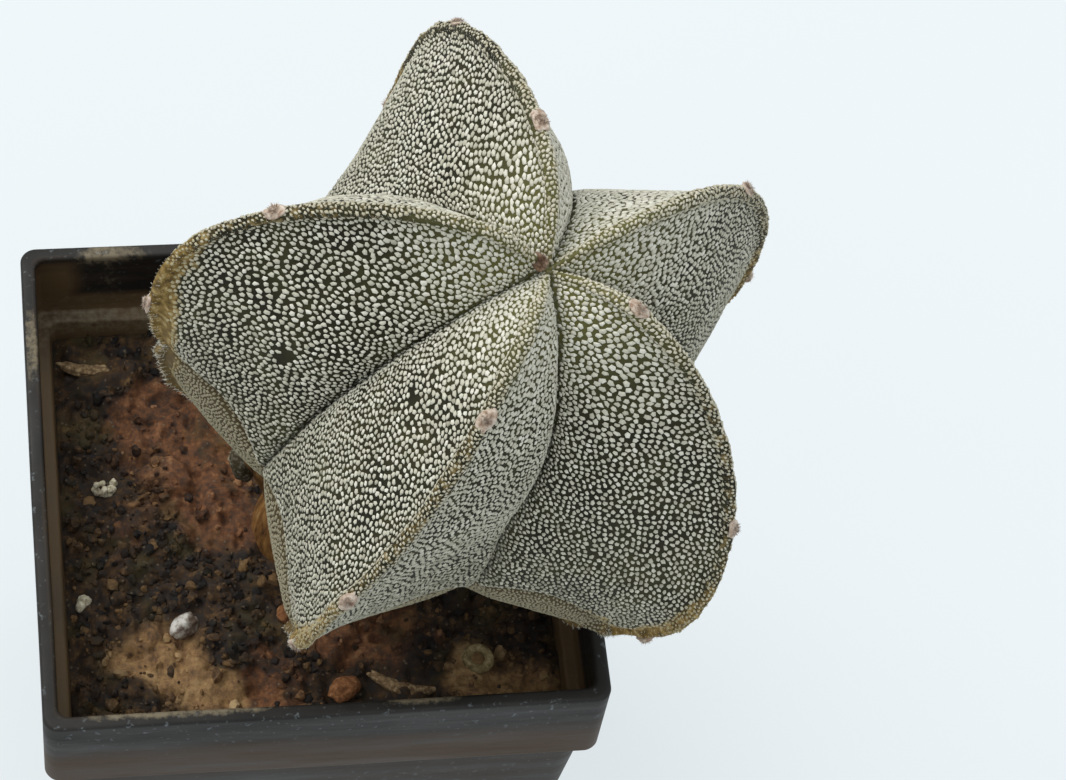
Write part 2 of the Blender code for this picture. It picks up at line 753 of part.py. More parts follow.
def loose_bits(crumbs, surfaces):
    """Each loose bit's name, mesh, surface, and the mesh of its seat in the soil."""
    bits = []
    for name, kind, (x, y), size, turn, bend in LOOSE_BITS:
        seed = len(bits) + 3
        height = soil_height(x * MM, y * MM, crumbs)
        centre = Vector((x * MM, y * MM, height + size[2] * MM * (1 - 2 * BIT_SINK)))
        mesh = lump_mesh(name, centre, size, turn, seed, 0.0, bend)
        seat = lump_mesh(name + "_seat", centre, size, turn, seed, SEAT_GAP, bend)
        bits.append((name, mesh, surfaces[kind], seat))
    height = soil_height(*HUSK_PLACE, crumbs) + 0.3 * HUSK_THICKNESS
    centre = Vector((*HUSK_PLACE, height))
    bits.append(("seed_husk", husk_mesh("seed_husk", centre, 0.0), surfaces["husk"],
                 husk_mesh("seed_husk_seat", centre, SEAT_GAP)))
    return bits


def main():
    for old in list(bpy.data.objects):
        bpy.data.objects.remove(old)
    whole = bpy.data.objects.new("potted_cactus", None)
    bpy.context.scene.collection.objects.link(whole)
    surfaces = {
        "perlite": material("perlite grain", "d8d2c2", 0.9),
        "pebble": material("grey pebble", "8d8a84", 0.7),
        "clay": material("fired clay bit", "8a4f35", 0.85),
        "bark": material("dry bark", "7a6449", 0.9),
        "husk": material("seed husk", "a3977a", 0.8),
    }
    crumbs = crumb_places()
    make_pot(material("moulded polypropylene", "2b2b2a", 0.55), whole)
    bits = loose_bits(crumbs, surfaces)
    seats = [(name + "_seat", seat) for name, _, _, seat in bits]
    make_soil(material("peat compost", "3a2a20", 0.95), whole, crumbs, seats)
    for name, mesh, surface, _ in bits:
        bit = add_object(name, mesh, surface, whole)
        shade(bit.data, 45)
    make_cactus(material("flecked cactus skin", "8b8d7f", 0.8), whole)


main()
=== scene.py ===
import itertools
import json
import math
import random

import bmesh
import bpy
import numpy as np
from mathutils import Matrix, Vector, kdtree, noise

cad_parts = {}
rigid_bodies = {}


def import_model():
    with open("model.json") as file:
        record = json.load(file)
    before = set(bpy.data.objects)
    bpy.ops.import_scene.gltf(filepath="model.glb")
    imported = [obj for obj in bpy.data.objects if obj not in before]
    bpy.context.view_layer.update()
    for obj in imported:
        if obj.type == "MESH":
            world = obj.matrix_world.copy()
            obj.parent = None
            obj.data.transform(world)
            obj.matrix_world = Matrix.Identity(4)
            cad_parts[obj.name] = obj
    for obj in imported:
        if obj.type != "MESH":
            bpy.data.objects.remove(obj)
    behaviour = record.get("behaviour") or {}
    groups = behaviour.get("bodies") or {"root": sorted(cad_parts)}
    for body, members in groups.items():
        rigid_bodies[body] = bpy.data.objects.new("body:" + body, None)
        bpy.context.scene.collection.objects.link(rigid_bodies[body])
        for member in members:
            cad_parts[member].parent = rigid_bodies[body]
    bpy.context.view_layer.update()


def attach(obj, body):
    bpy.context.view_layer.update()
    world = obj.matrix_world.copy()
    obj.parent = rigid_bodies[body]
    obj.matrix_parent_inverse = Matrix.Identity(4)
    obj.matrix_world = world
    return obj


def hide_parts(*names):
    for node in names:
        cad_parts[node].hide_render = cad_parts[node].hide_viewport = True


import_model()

# Looks of the potted bishop's cap cactus. Metres, +Z up, the origin under the middle of the pot.

MM = 0.001

# The plant's axis, ribs and profiles are the part's own. Here the same skin is sampled finer.
SOIL_TOP = 65 * MM
APEX = np.array((23.1, -11.0, 141.4)) * MM
FOOT = np.array((1.8, 0.2, 65.0)) * MM
FIRST_RIB_ANGLE = 99.0
RIB_SPACING = 72.0

# Each rib: reach in mm, drop of its tip as a share of the reach, turn, bow (degrees, and the
# share of the ridge where it ends) and final sweep of its ridge, how far its flanks swell, and
# how much cork its edge has
RIBS = (
    {"reach": 39.0, "drop": -0.07, "turn": -2.0, "bow": (1.0, 0.85), "sweep": 1.3, "swell": (1.3, 0.1),
     "cork": 0.35},
    {"reach": 43.2, "drop": 0.03, "turn": -2.8, "bow": (5.0, 0.85), "sweep": -2.0, "swell": (1.0, 0.4),
     "cork": 0.7},
    {"reach": 40.4, "drop": 0.21, "turn": 2.0, "bow": (8.5, 0.75), "sweep": 0.0, "swell": (1.0, 1.0),
     "cork": 0.8},
    {"reach": 39.4, "drop": 0.09, "turn": -2.0, "bow": (4.2, 0.7), "sweep": 0.0, "swell": (1.0, 0.6),
     "cork": 0.7},
    {"reach": 38.6, "drop": -0.05, "turn": 4.0, "bow": (-5.0, 0.85), "sweep": 0.0, "swell": (1.0, 1.0),
     "cork": 1.3},
)
MEAN_REACH = 40.5
GROOVE_REACH = (1.10, 1.07, 0.97, 1.0, 1.0)

RIDGE_HEAD = ((0, 0), (4.9, -3.8), (11.3, -5.6), (20.3, -3.2), (28.4, 2.3), (34.4, 8.6),
              (38.6, 15.3), (40.5, 21.8), (40.5, 28.0), (38.7, 34.2), (35.6, 40.0))
RIDGE_OLD = ((35.6, 40.0), (34.9, 43.2), (31.8, 47.2), (28.2, 50.2), (25.9, 51.4))
RIDGE_STEM = ((25.9, 51.4), (24.0, 54.0), (20.2, 58.0), (16.6, 62.4), (13.4, 67.5),
              (10.2, 72.0), (8.5, 74.6), (8.2, 76.5), (8.2, 80.1))
GROOVE_HEAD = ((0, 0), (4.7, 1.4), (9.3, 5.2), (13.9, 10.2), (17.4, 15.8), (20.0, 22.0),
               (22.4, 27.4), (24.0, 32.0), (24.6, 36.6))
GROOVE_OLD = ((24.6, 36.6), (22.6, 41.6), (19.6, 46.4), (16.9, 50.6))
GROOVE_STEM = ((16.9, 50.6), (15.2, 53.9), (12.9, 58.7), (11.0, 64.0), (9.6, 69.7),
               (8.6, 73.6), (8.2, 76.5), (8.2, 80.1))
ROOT = ((8.2, 80.1), (7.6, 86.0), (7.0, 91.0))
RIDGE = (RIDGE_HEAD, RIDGE_OLD, RIDGE_STEM, ROOT)
GROOVE = (GROOVE_HEAD, GROOVE_OLD, GROOVE_STEM, ROOT)
ROWS = (31, 6, 11, 4)
SEAM_SHARE = 0.4
HEAD_FADE = 1.6
CREASE_BOW_ROWS = 3.2
FLANK_SLOPE = 0.6
LOW_FULLNESS = 0.25
STEM_RADIUS = 8.2 * MM

# How finely the skin is sampled, and its smaller relief. A pair is a height and the size of its
# swells.
ROW_STEP = 0.3
CREASE_ROW_STEP = 0.12
FLANK_INNER_STEPS = 25
FLANK_RIM_STEPS = 7
RIM_START = 0.93
RIM_WIDTH = 1.35 * MM
RIM_RISE = 0.65 * MM
RIM_LUMP = (0.14 * MM, 1.1 * MM)
OLD_LOBE_LUMP = (0.75 * MM, 2.8 * MM)
PINCH_RISE = 1.35 * MM
PINCH_WIDTH = 0.95 * MM
PINCH_REACH = 6 * MM
PINCH_START = (0.04, 0.24)
CREASE_DEPTH = 1.0 * MM
CREASE_HALF_ROWS = 0.42
SHALLOW_CREASE = 0.4
NARROW_FLANK = 8 * MM
OLD_LOBE_START = (0.75, 1.0)
OLD_LOBE_EDGE = (1.5 * MM, 5 * MM)
SKIN_DENT = (0.16 * MM, 5 * MM)
SKIN_GRAIN = (0.05 * MM, 0.9 * MM)
BARK_WRINKLE = 0.45 * MM
BARK_WRINKLE_SIZES = (2.2 * MM, 1.0 * MM)
BARK_START = (0.0, 0.2)
BARK_END = (0.8, 0.95)

# How the skin's colours run: where the crown's olive fades along a rib, how far felt reaches
# from a groove and from a ridge, and how wide the cork is on a ridge, and how much wider at its tip
CROWN_FADE = (0.06, 0.38)
GROOVE_FELT = (0.4 * MM, 3.0 * MM)
RIDGE_FELT = (0.8 * MM, 2.2 * MM)
MOST_RIDGE_FELT = 0.45
MOST_CREASE_FELT = 0.5
OLD_LOBE_FELT = 0.3
TIP_START = (0.5, 0.95)
CORK_BAND = 0.2 * MM
TIP_CORK_BAND = 2.9 * MM
PLAIN_RIDGE_CORK = 0.18
# How ragged the cork's border is, and the size of its bays
CORK_RAGGEDNESS = (0.45, 3 * MM)
BARK_RAGGEDNESS = (0.13, 3.5 * MM)

# Woolly flecks: least distance across between two, how much longer it is along them, and their
# size against that distance
FLECK_CANDIDATES = 1200000
FLECK_SPACING = 0.46 * MM
FLECK_WIDE_SPACING = 0.60 * MM
FLECK_FINE_SPACING = 0.38 * MM
# Flecks stand wide where a flank is broad, and close by a groove and a ridge
BROAD_FLANK = (4 * MM, 16 * MM)
CLOSE_BY_GROOVE = (0.5 * MM, 3.5 * MM)
CLOSE_BY_RIDGE = (0.5 * MM, 1.8 * MM)
FLECK_LENGTH = 1.45
FLECK_SIZE = 0.395
CROWN_FLECK_SIZE = 0.475
FLECK_HEIGHT = 0.10 * MM
FLECK_TOP = 0.82
LARGE_FLECK = 0.27 * MM
# A fleck's tone runs from 0 for grey to 1 for white: its mean and how much it varies, and what
# it gains in a groove, at the crown as painted light, low on a rib as painted shade, on the old
# lobes, and where flecks are wide
FLECK_TONE = (0.66, 0.17)
FELT_TONE = -0.12
CROWN_PAINTED_LIGHT = 0.3
LOW_PAINTED_SHADE = -0.4
OLD_TONE = -0.45
COVER_TONE = 1.6
OLD_LOBE_BARENESS = 0.3
# How gold flecks are at most on cork, along a ridge, and on the old lobes
MOST_GOLD = 0.75
RIDGE_GOLD = 0.3
OLD_GOLD = 0.3
# How far apart and how wide the flecks of each rib's two flanks are against the rest, on the
# flank toward the next rib first
FLECK_CLOSENESS = ((1.0, 1.0), (1.0, 1.0), (1.0, 1.0), (0.9, 0.86), (1.0, 1.0))
FLECK_COVER = ((1.05, 1.05), (0.92, 1.0), (0.97, 1.0), (1.0, 0.94), (1.0, 1.0))
# Each ridge is a cord of gold fuzz, with a dark bare line along its foot, strongest on the flank
# toward the rib before
CORD_WIDTH = 0.95 * MM
CORD_GOLD = 0.27
RIDGE_LINE_PLACE = 1.15 * MM
RIDGE_LINE_WIDTH = 0.42 * MM
RIDGE_LINE_STRENGTH = (0.97, 0.4)
# Flecks push each other apart into even rows: neighbours looked at, rounds, and the room they want
SETTLING_NEIGHBOURS = 9
SETTLING_ROUNDS = 12
SETTLING_ROOM = 1.22
SETTLING_PUSH = 0.22
# A fleck's room is its mean distance to this many neighbours, within these shares of its spacing
SETTLING_NEAREST = 6
SETTLED_ROOM = (0.85, 1.5)

# Areoles: woolly cushions along each ridge, as shares of the ridge from apex to crease
AREOLES = (
    (0.235, 0.60, 0.92),
    (0.44, 0.79),
    (0.16, 0.57, 0.90),
    (0.32, 0.66, 0.93),
    (0.49, 0.84),
)
AREOLE_RADIUS = 1.05 * MM
AREOLE_LENGTH = 1.35
AREOLE_FLATNESS = 0.3
AREOLE_SINK = 0.12 * MM
AREOLE_HAIRS = 160
MOST_HAIR_LEAN = 1.25
TUFT_HAIR_LENGTH = (0.2, 0.55)
TUFT_HAIR_RADIUS = 0.05 * MM
DOWN_THE_PLANT = (-0.31, -0.22, -0.92)

# One tuft covers the crown's middle: its place beside and over the apex, and its form
CROWN_TUFT_RADIUS = 1.1 * MM
CROWN_TUFT_FLATNESS = 0.5
CROWN_TUFT_HAIRS = 500
CROWN_TUFT_SHIFT = (-1.6 * MM, 0.1 * MM)
CROWN_TUFT_RISE = 1.5 * MM

# Two old knocks where hardly a fleck grows: a point on the skin and a radius, in mm
KNOCKS = ((-6.2, -14.4, 130.5, 1.15), (7.0, -24.0, 136.0, 0.75))

# Corky scars on a flank: rib, side, row, share of the way up the flank, and radius in mm
SCARS = ((2, 1, 30.7, 0.52, 1.2), (2, 1, 30.5, 0.63, 1.7), (2, 1, 30.3, 0.74, 1.9),
         (2, 1, 30.1, 0.86, 1.6))
SCAR_STRENGTH = 0.7

# One old areole still stands out of the stem
STEM_KNOB_RIB = 4
STEM_KNOB_ROW = 42
STEM_KNOB_RADIUS = 2.6 * MM
STEM_KNOB_HAIRS = 140

# Hairs that stand off each ridge: how many, how far beside it in columns of the grid, how long
# at most, and how much longer at a corky tip
FRINGE_HAIRS = 1500
FRINGE_COLUMNS = 4
FRINGE_HAIR_RADIUS = 0.04 * MM
FRINGE_HAIR_LENGTH = 0.25 * MM
TIP_HAIR_GAIN = 0.22 * MM

# The pot
POT_HEIGHT = 80 * MM
POT_RIM_WIDTH = 70 * MM
COLLAR_HEIGHT = 14.8 * MM
COLLAR_DRAFT = 0.1 * MM
COLLAR_STEP = 1.3 * MM
COLLAR_WALL = 1.9 * MM
COLLAR_CORNER = 2.0 * MM
LEDGE_DEPTH = 12.8 * MM
LEDGE_WIDTH = 1.8 * MM
BODY_CORNER = 3.0 * MM
BASE_WIDTH = 58 * MM
BASE_CORNER = 4.0 * MM
BASE_BEVEL = 0.8 * MM
FLOOR_THICKNESS = 2.0 * MM
POT_EDGE = 0.5 * MM
COLLAR_FILLET = 2.2 * MM
POT_WARP = (0.22 * MM, 24 * MM)
# Where lime has dried on the rim: middle and reach along x and y, in mm
LIME_PLACES = ((-23.6, 34.2, (4.5, 2.0)), (-18.0, -33.4, (12.0, 1.0)), (-34.2, 20.0, (1.0, 7.0)),
               (12.0, -33.2, (5.0, 0.8)))
# The lip's crust of lime away from those places, and the ledge's at the front
PLAIN_CRUST = 0.45
LEDGE_CRUST = 0.62
STAIN_BESIDE = 0.35
DRAIN_COUNT = 8
DRAIN_RADIUS = 3.6 * MM
DRAIN_OFFSET = 14 * MM

# The soil
SOIL_CELLS = 190
SOIL_SWELL = 0.9 * MM
SOIL_SWELL_LENGTH = 13 * MM
SOIL_RIPPLE = 0.5 * MM
CRUMB_COUNT = 190
CRUMB_RADII = (1.7 * MM, 3.8 * MM)
CRUMB_RISE = 0.5
SOIL_QUIET_RADIUS = 12 * MM
SOIL_EDGE_SLOPE = 4 * MM
SOIL_EDGE_DIP = 0.8 * MM
SMALL_CRUMBS = 4200
SMALL_CRUMB_RADII = (0.2 * MM, 0.85 * MM)
FINE_CRUMB = 0.42 * MM
CRUMB_UNLIKENESS = 3000
CAKED_CALM = 0.85
SOIL_CLEARANCE = 0.3 * MM
GRIT_MEAN = 0.2 * MM
GRIT_FREE_BORDER = 1.2 * MM
# Finer relief of the soil, each a height and the size of its swells, and how far its crumbs'
# outlines and its patches' borders wander
CLODS = (0.9 * MM, 2.6 * MM)
CRUMBLY = (0.45 * MM, 1.1 * MM)
GRIT = (0.22 * MM, 0.6 * MM)
PIT_DEPTH = 0.9 * MM
PIT_SIZE = 1.7 * MM
CRUMB_WANDER = ((1.0 * MM, 2.2 * MM), (0.4 * MM, 0.9 * MM))
PATCH_WANDER = ((5.0 * MM, 6 * MM), (2.0 * MM, 2 * MM))
# Where the soil is rusty and where it is tan: middle and radius
RUST_PATCHES = ((-12.4 * MM, 6.9 * MM, 11 * MM), (-16 * MM, 17 * MM, 7 * MM),
                (-6 * MM, -23 * MM, 7 * MM), (6 * MM, -17 * MM, 8 * MM))
TAN_PATCHES = ((-18.0 * MM, -20.5 * MM, 7 * MM), (-13 * MM, -24 * MM, 5 * MM),
               (24 * MM, -26 * MM, 7 * MM))

# Loose bits on the soil: name, kind, place in mm, size in mm, turn in degrees, bend
LOOSE_BITS = (
    ("perlite_1", "perlite", (-25.4, 6.9), (2.0, 1.5, 1.3), 20, 0.0),
    ("perlite_2", "perlite", (-29.0, -9.6), (1.4, 1.1, 1.0), 70, 0.0),
    ("pebble_grey", "pebble", (-16.3, -13.8), (2.0, 1.5, 1.4), 40, 0.0),
    ("clay_bit_1", "clay", (3.4, -24.0), (2.2, 1.6, 1.3), 30, 0.0),
    ("clay_bit_2", "clay", (-3.0, -13.2), (1.6, 1.3, 1.2), 0, 0.0),
    ("bark_sliver", "bark", (10.4, -24.2), (4.6, 0.9, 0.8), -20, 1.1),
    ("bark_strip", "bark", (-26.8, 25.0), (4.4, 0.9, 0.7), -8, 1.1),
)
BIT_KNOBS = 0.22
BIT_SINK = 0.35
PERLITE_GRAINS = {"perlite_1": (16, 0.36), "perlite_2": (6, 0.62)}
HUSK_PLACE = (20.7 * MM, -21.2 * MM)
HUSK_RADIUS = 1.5 * MM
HUSK_THICKNESS = 0.62 * MM

# The camera, from the photograph's own perspective
CAMERA_PLACE = (-38.02 * MM, -232.80 * MM, 486.85 * MM)
CAMERA_AZIMUTH = math.radians(-15.639)
CAMERA_ELEVATION = math.radians(58.208)
CAMERA_ROLL = math.radians(10.844)
PHOTO_WIDTH = 1066
FOCAL_PIXELS = 3693.1
SENSOR_WIDTH_MM = 36


# Small helpers


def smooth_step(low, high, value):
    share = np.clip((value - low) / (high - low), 0.0, 1.0)
    return share * share * (3 - 2 * share)


def unit(vectors):
    return vectors / np.maximum(np.linalg.norm(vectors, axis=-1, keepdims=True), 1e-12)


def lumps(points, size, seed=0):
    """Smooth random values from -1 to 1 over space, with swells about this size, for many points."""
    spot = np.asarray(points) / size
    cell = np.floor(spot).astype(np.int64)
    share = spot - cell
    share = share * share * (3 - 2 * share)
    total = np.zeros(spot.shape[:-1])
    for corner in itertools.product((0, 1), repeat=3):
        x, y, z = np.moveaxis(cell + np.array(corner), -1, 0)
        mixed = x * 73856093 ^ y * 19349663 ^ z * 83492791 ^ (seed + 1) * 40503
        mixed = ((mixed ^ (mixed >> 13)) * 1274126177) & 0xFFFFFFFF
        value = ((mixed ^ (mixed >> 16)) & 0xFFFF) / 32767.5 - 1
        total += value * np.prod(np.where(corner, share, 1 - share), axis=-1)
    return total


def relief(points, rise_and_size, seed):
    """Smooth random relief: a rise, and the size of its swells."""
    rise, size = rise_and_size
    return rise * lumps(points, size, seed)


def flat_spots(x, y):
    """Points on the ground plane, for the random values of the soil."""
    return np.stack([x, y, np.zeros_like(x)], -1)


def point_tree(points):
    """A tree that finds the nearest of many points."""
    tree = kdtree.KDTree(len(points))
    for number, point in enumerate(points.tolist()):
        tree.insert(point, number)
    tree.balance()
    return tree


def ring_faces(rings, around, start=0):
    """Four-sided faces between closed rings of points that follow one another."""
    i = np.arange(around)
    j = (i + 1) % around
    low = start + (np.arange(rings - 1) * around)[:, None]
    return np.stack([low + i, low + j, low + around + j, low + around + i], -1).reshape(-1, 4).tolist()


def ring_pairs(count):
    """Each number of a closed ring with the next one."""
    return [(i, (i + 1) % count) for i in range(count)]


def joined(solids):
    """Several lots of points and faces as one."""
    points = []
    faces = []
    start = 0
    for some_points, some_faces in solids:
        points.append(some_points)
        faces += [[start + i for i in face] for face in some_faces]
        start += len(some_points)
    return np.vstack(points), faces


def unit_ball(fineness):
    """Points and faces of a ball, to be shaped."""
    made = bmesh.new()
    bmesh.ops.create_icosphere(made, subdivisions=fineness, radius=1)
    points = np.array([v.co for v in made.verts])
    faces = [[v.index for v in f.verts] for f in made.faces]
    made.free()
    return points, faces


def turn_outward(piece):
    made = bmesh.new()
    made.from_mesh(piece.data)
    bmesh.ops.recalc_face_normals(made, faces=made.faces)
    made.to_mesh(piece.data)
    made.free()


def add_piece(name, points, faces, surface, values=None, sharp_degrees=None):
    """A mesh piece that rides on the part's one body, with a number at each point for its material."""
    mesh = bpy.data.meshes.new(name)
    mesh.from_pydata(np.asarray(points).tolist(), [], faces)
    for key, numbers in (values or {}).items():
        mesh.attributes.new(key, "FLOAT", "POINT").data.foreach_set("value", np.ravel(numbers))
    mesh.shade_smooth()
    if sharp_degrees:
        mesh.set_sharp_from_angle(angle=math.radians(sharp_degrees))
    mesh.materials.append(surface)
    piece = bpy.data.objects.new(name, mesh)
    bpy.context.scene.collection.objects.link(piece)
    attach(piece, "root")
    return piece


# Materials


def srgb(hex_colour):
    """Linear red, green, blue and alpha of an sRGB hex colour."""
    channels = [int(hex_colour[i:i + 2], 16) / 255 for i in (0, 2, 4)]
    linear = [c / 12.92 if c <= 0.04045 else ((c + 0.055) / 1.055) ** 2.4 for c in channels]
    return (*linear, 1.0)


def per_size(millimetres):
    """A texture's scale that gives one repeat to each size."""
    return 1000 / millimetres


def node(tree, kind, inputs=None, stops=None, **settings):
    """Adds a shader node. An input is a plain value, or another node's output to link from."""
    made = tree.nodes.new(kind)
    for key, value in settings.items():
        setattr(made, key, value)
    for key, value in (inputs or {}).items():
        if isinstance(value, bpy.types.NodeSocket):
            tree.links.new(value, made.inputs[key])
        else:
            made.inputs[key].default_value = value
    if stops:
        elements = made.color_ramp.elements
        while len(elements) < len(stops):
            elements.new(0.5)
        for element, (place, colour) in zip(elements, stops):
            element.position = place
            element.color = srgb(colour)
    return made


def start_material(name, **shader_values):
    """A material's tree, its shader, and where in space a point is, in metres."""
    made = bpy.data.materials.new(name)
    made.use_nodes = True
    tree = made.node_tree
    shader = tree.nodes["Principled BSDF"]
    for key, value in shader_values.items():
        shader.inputs[key.replace("_", " ")].default_value = value
    place = node(tree, "ShaderNodeTexCoord").outputs["Object"]
    return made, tree, shader, place


def blended(tree, share, first, second):
    """One colour turning into another by a share."""
    made = node(tree, "ShaderNodeMix", data_type="RGBA")
    for socket, value in ((made.inputs[0], share), (made.inputs[6], first), (made.inputs[7], second)):
        if isinstance(value, bpy.types.NodeSocket):
            tree.links.new(value, socket)
        else:
            socket.default_value = value
    return made.outputs[2]


def swells(tree, place, millimetres, detail, roughness=0.5):
    """A noise texture's value, with swells of about this real size."""
    return node(tree, "ShaderNodeTexNoise", {"Vector": place, "Scale": per_size(millimetres),
                "Detail": detail, "Roughness": roughness}).outputs[0]


def grain_distance(tree, place, millimetres):
    """How far each place is from the middle of its grain, where grains are about this real size."""
    return node(tree, "ShaderNodeTexVoronoi",
                {"Vector": place, "Scale": per_size(millimetres)}).outputs["Distance"]


def squeezed(tree, place, scale):
    """Places along which a texture is drawn out, where the scale is under 1."""
    return node(tree, "ShaderNodeMapping", {"Vector": place, "Scale": scale}).outputs[0]


def held(tree, name):
    """A number that the mesh holds at each point."""
    return node(tree, "ShaderNodeAttribute", attribute_name=name).outputs["Fac"]


def ramp(tree, value, *stops):
    return node(tree, "ShaderNodeValToRGB", {"Fac": value}, stops).outputs[0]


def spread(tree, value, low, high, first=0.0, last=1.0):
    """A value between low and high, turned into one between first and last."""
    return node(tree, "ShaderNodeMapRange", {"Value": value, "From Min": low, "From Max": high,
                "To Min": first, "To Max": last}).outputs[0]


def reckoned(tree, operation, first, second, clamp=False):
    return node(tree, "ShaderNodeMath", {0: first, 1: second}, operation=operation,
                use_clamp=clamp).outputs[0]


def finish_material(tree, shader, colour, height, strength, millimetres):
    """Gives a shader its colour and its fine relief."""
    bumps = node(tree, "ShaderNodeBump", {"Height": height, "Strength": strength,
                 "Distance": millimetres * MM})
    tree.links.new(colour, shader.inputs["Base Color"])
    tree.links.new(bumps.outputs[0], shader.inputs["Normal"])


def cactus_skin():
    """Living epidermis: a waxy, nearly black green hide under the wool, corky along the ribs."""
    made, tree, shader, place = start_material("waxy_cactus_epidermis", Roughness=0.7,
                                               Specular_IOR_Level=0.2)
    hide = ramp(tree, swells(tree, place, 5, 4.0), (0.35, "211f12"), (0.55, "2f2d19"),
                (0.75, "414024"))
    colour = blended(tree, held(tree, "crown"), hide, srgb("66643a"))
    # Stray hairs between the flecks, each a speck of about 0.4 mm, close together in the grooves
    reach = reckoned(tree, "MULTIPLY", held(tree, "felt"), 0.62)
    hairy = spread(tree, grain_distance(tree, place, 0.42), reach, 0.0)
    colour = blended(tree, hairy, colour, srgb("8c8b80"))
    # Cork along each ridge, gold to brown in knobs about 1 mm across
    knobs = swells(tree, place, 0.9, 5.0)
    cork = ramp(tree, knobs, (0.3, "4b3b1d"), (0.48, "78602f"), (0.6, "987f4a"), (0.74, "bba97c"))
    worn = spread(tree, knobs, 0.75, 0.25, 0.0, 0.5)
    corky = reckoned(tree, "SUBTRACT", held(tree, "cork"), worn, clamp=True)
    colour = blended(tree, spread(tree, corky, 0.0, 0.35), colour, cork)
    # The old lobes are browner, and the stem is orange-tan bark with cracks down it
    age = held(tree, "age")
    colour = blended(tree, spread(tree, age, 0.0, 0.5, 0.0, 0.65), colour, srgb("5a4c34"))
    cracked = swells(tree, squeezed(tree, place, (1.0, 1.0, 0.25)), 1.3, 6.0, 0.65)
    bark = ramp(tree, cracked, (0.32, "3a2818"), (0.45, "6f4d2a"), (0.58, "8f6839"), (0.72, "a58c62"))
    colour = blended(tree, spread(tree, age, 0.55, 0.8), colour, bark)
    finish_material(tree, shader, colour, knobs, 0.5, 0.15)
    return made


def fleck_wool():
    """Flecks of matted white hair: dry, chalky, with no shine and a soft edge to the light."""
    made, tree, shader, place = start_material("matted_trichome_wool", Roughness=0.95,
                                               Sheen_Weight=0.15, Specular_IOR_Level=0.2)
    # The tone holds painted light near the crown and painted shade low on each rib, besides the wool's
    # own greys
    wool = ramp(tree, held(tree, "tone"), (0.0, "989583"), (0.35, "c4c1ae"), (0.75, "dfdcca"),
                (1.0, "f3f0e2"))
    hairs = swells(tree, place, 0.25, 3.0)
    colour = blended(tree, spread(tree, hairs, 0.3, 0.7, 0.0, 0.35), wool, srgb("9b9886"))
    colour = blended(tree, held(tree, "gold"), colour, srgb("a5935f"))
    finish_material(tree, shader, colour, hairs, 0.4, 0.06)
    return made


def moulded_polypropylene():
    """Black polypropylene, injection moulded: a low satin sheen, dulled by grime, dust and lime."""
    made, tree, shader, place = start_material("moulded_black_polypropylene", IOR=1.49,
                                               Specular_IOR_Level=0.36)
    # Wiping marks and silt run along the sides, about 1.5 mm high and eight times as long
    along = squeezed(tree, place, (0.12, 0.12, 1.0))
    streaks = swells(tree, along, 1.6, 6.0, 0.6)
    plastic = ramp(tree, streaks, (0.3, "141311"), (0.5, "1d1b18"), (0.7, "2b2824"))
    grime = swells(tree, along, 4, 7.0, 0.7)
    inside = held(tree, "inside")
    dirty = reckoned(tree, "MAXIMUM", inside, held(tree, "low"))
    grimy = spread(tree, reckoned(tree, "MULTIPLY", grime, dirty), 0.18, 0.5, 0.0, 0.9)
    stain = blended(tree, inside, srgb("43311f"), srgb("69553a"))
    colour = blended(tree, grimy, plastic, stain)
    # Pale lime crust in grains of about half a millimetre, thickest on the ledge and lip
    lime = reckoned(tree, "MULTIPLY", swells(tree, place, 1.1, 8.0, 0.72), held(tree, "crust"))
    caked = spread(tree, lime, 0.3, 0.5, 0.0, 0.8)
    colour = blended(tree, caked, colour, srgb("82765f"))
    # Bluish specks of hard water, about 0.4 mm each, mostly on the lip and the collar's top
    clean = reckoned(tree, "SUBTRACT", 1.0, dirty)
    specks = spread(tree, swells(tree, place, 0.9, 4.0, 0.6), 0.61, 0.70, 0.0, 0.55)
    colour = blended(tree, reckoned(tree, "MULTIPLY", specks, clean), colour, srgb("70777a"))
    tree.links.new(spread(tree, grime, 0.3, 0.7, 0.42, 0.75), shader.inputs["Roughness"])
    height = reckoned(tree, "ADD", streaks, caked)
    finish_material(tree, shader, colour, height, 0.4, 0.12)
    return made


def peat_compost():
    """Peat and clay compost, damp and crumbled: nearly black, rust red and tan in patches."""
    made, tree, shader, place = start_material("crumbled_peat_compost", Roughness=0.9)
    crumbs = swells(tree, place, 1.1, 9.0, 0.78)
    mixed = reckoned(tree, "ADD", crumbs, held(tree, "tone"))
    humus = ramp(tree, mixed, (0.35, "0e0906"), (0.47, "281b0f"), (0.58, "4b351d"), (0.72, "765a36"))
    rust = ramp(tree, mixed, (0.30, "1d130b"), (0.42, "4b301c"), (0.54, "754b2c"), (0.70, "a07550"))
    tan = ramp(tree, mixed, (0.30, "3f2f1f"), (0.42, "78593a"), (0.55, "a07e52"), (0.75, "c4a87c"))
    colour = blended(tree, held(tree, "rust"), humus, rust)
    # Algae tint the crust olive in places about 6 mm across
    green = spread(tree, swells(tree, place, 6, 3.0), 0.54, 0.68, 0.0, 0.5)
    colour = blended(tree, green, colour, srgb("4f4420"))
    colour = blended(tree, held(tree, "tan"), colour, tan)
    # Pale sand grains about 0.3 mm across, a millimetre or so apart
    sand = spread(tree, grain_distance(tree, place, 1.1), 0.2, 0.1, 0.0, 0.55)
    colour = blended(tree, sand, colour, srgb("7d6c55"))
    tree.links.new(spread(tree, crumbs, 0.35, 0.6, 0.55, 0.95), shader.inputs["Roughness"])
    finish_material(tree, shader, colour, crumbs, 0.9, 0.35)
    return made


def grain_material(name, size, stops, roughness, depth, strength=0.7, detail=7.0,
                   grain_roughness=0.65, **shader_values):
    """A mineral, woody or felted bit: colour and relief both come from one grain of its real size."""
    made, tree, shader, place = start_material(name, Roughness=roughness, **shader_values)
    grain = swells(tree, place, size, detail, grain_roughness)
    finish_material(tree, shader, ramp(tree, grain, *stops), grain, strength, depth)
    return made


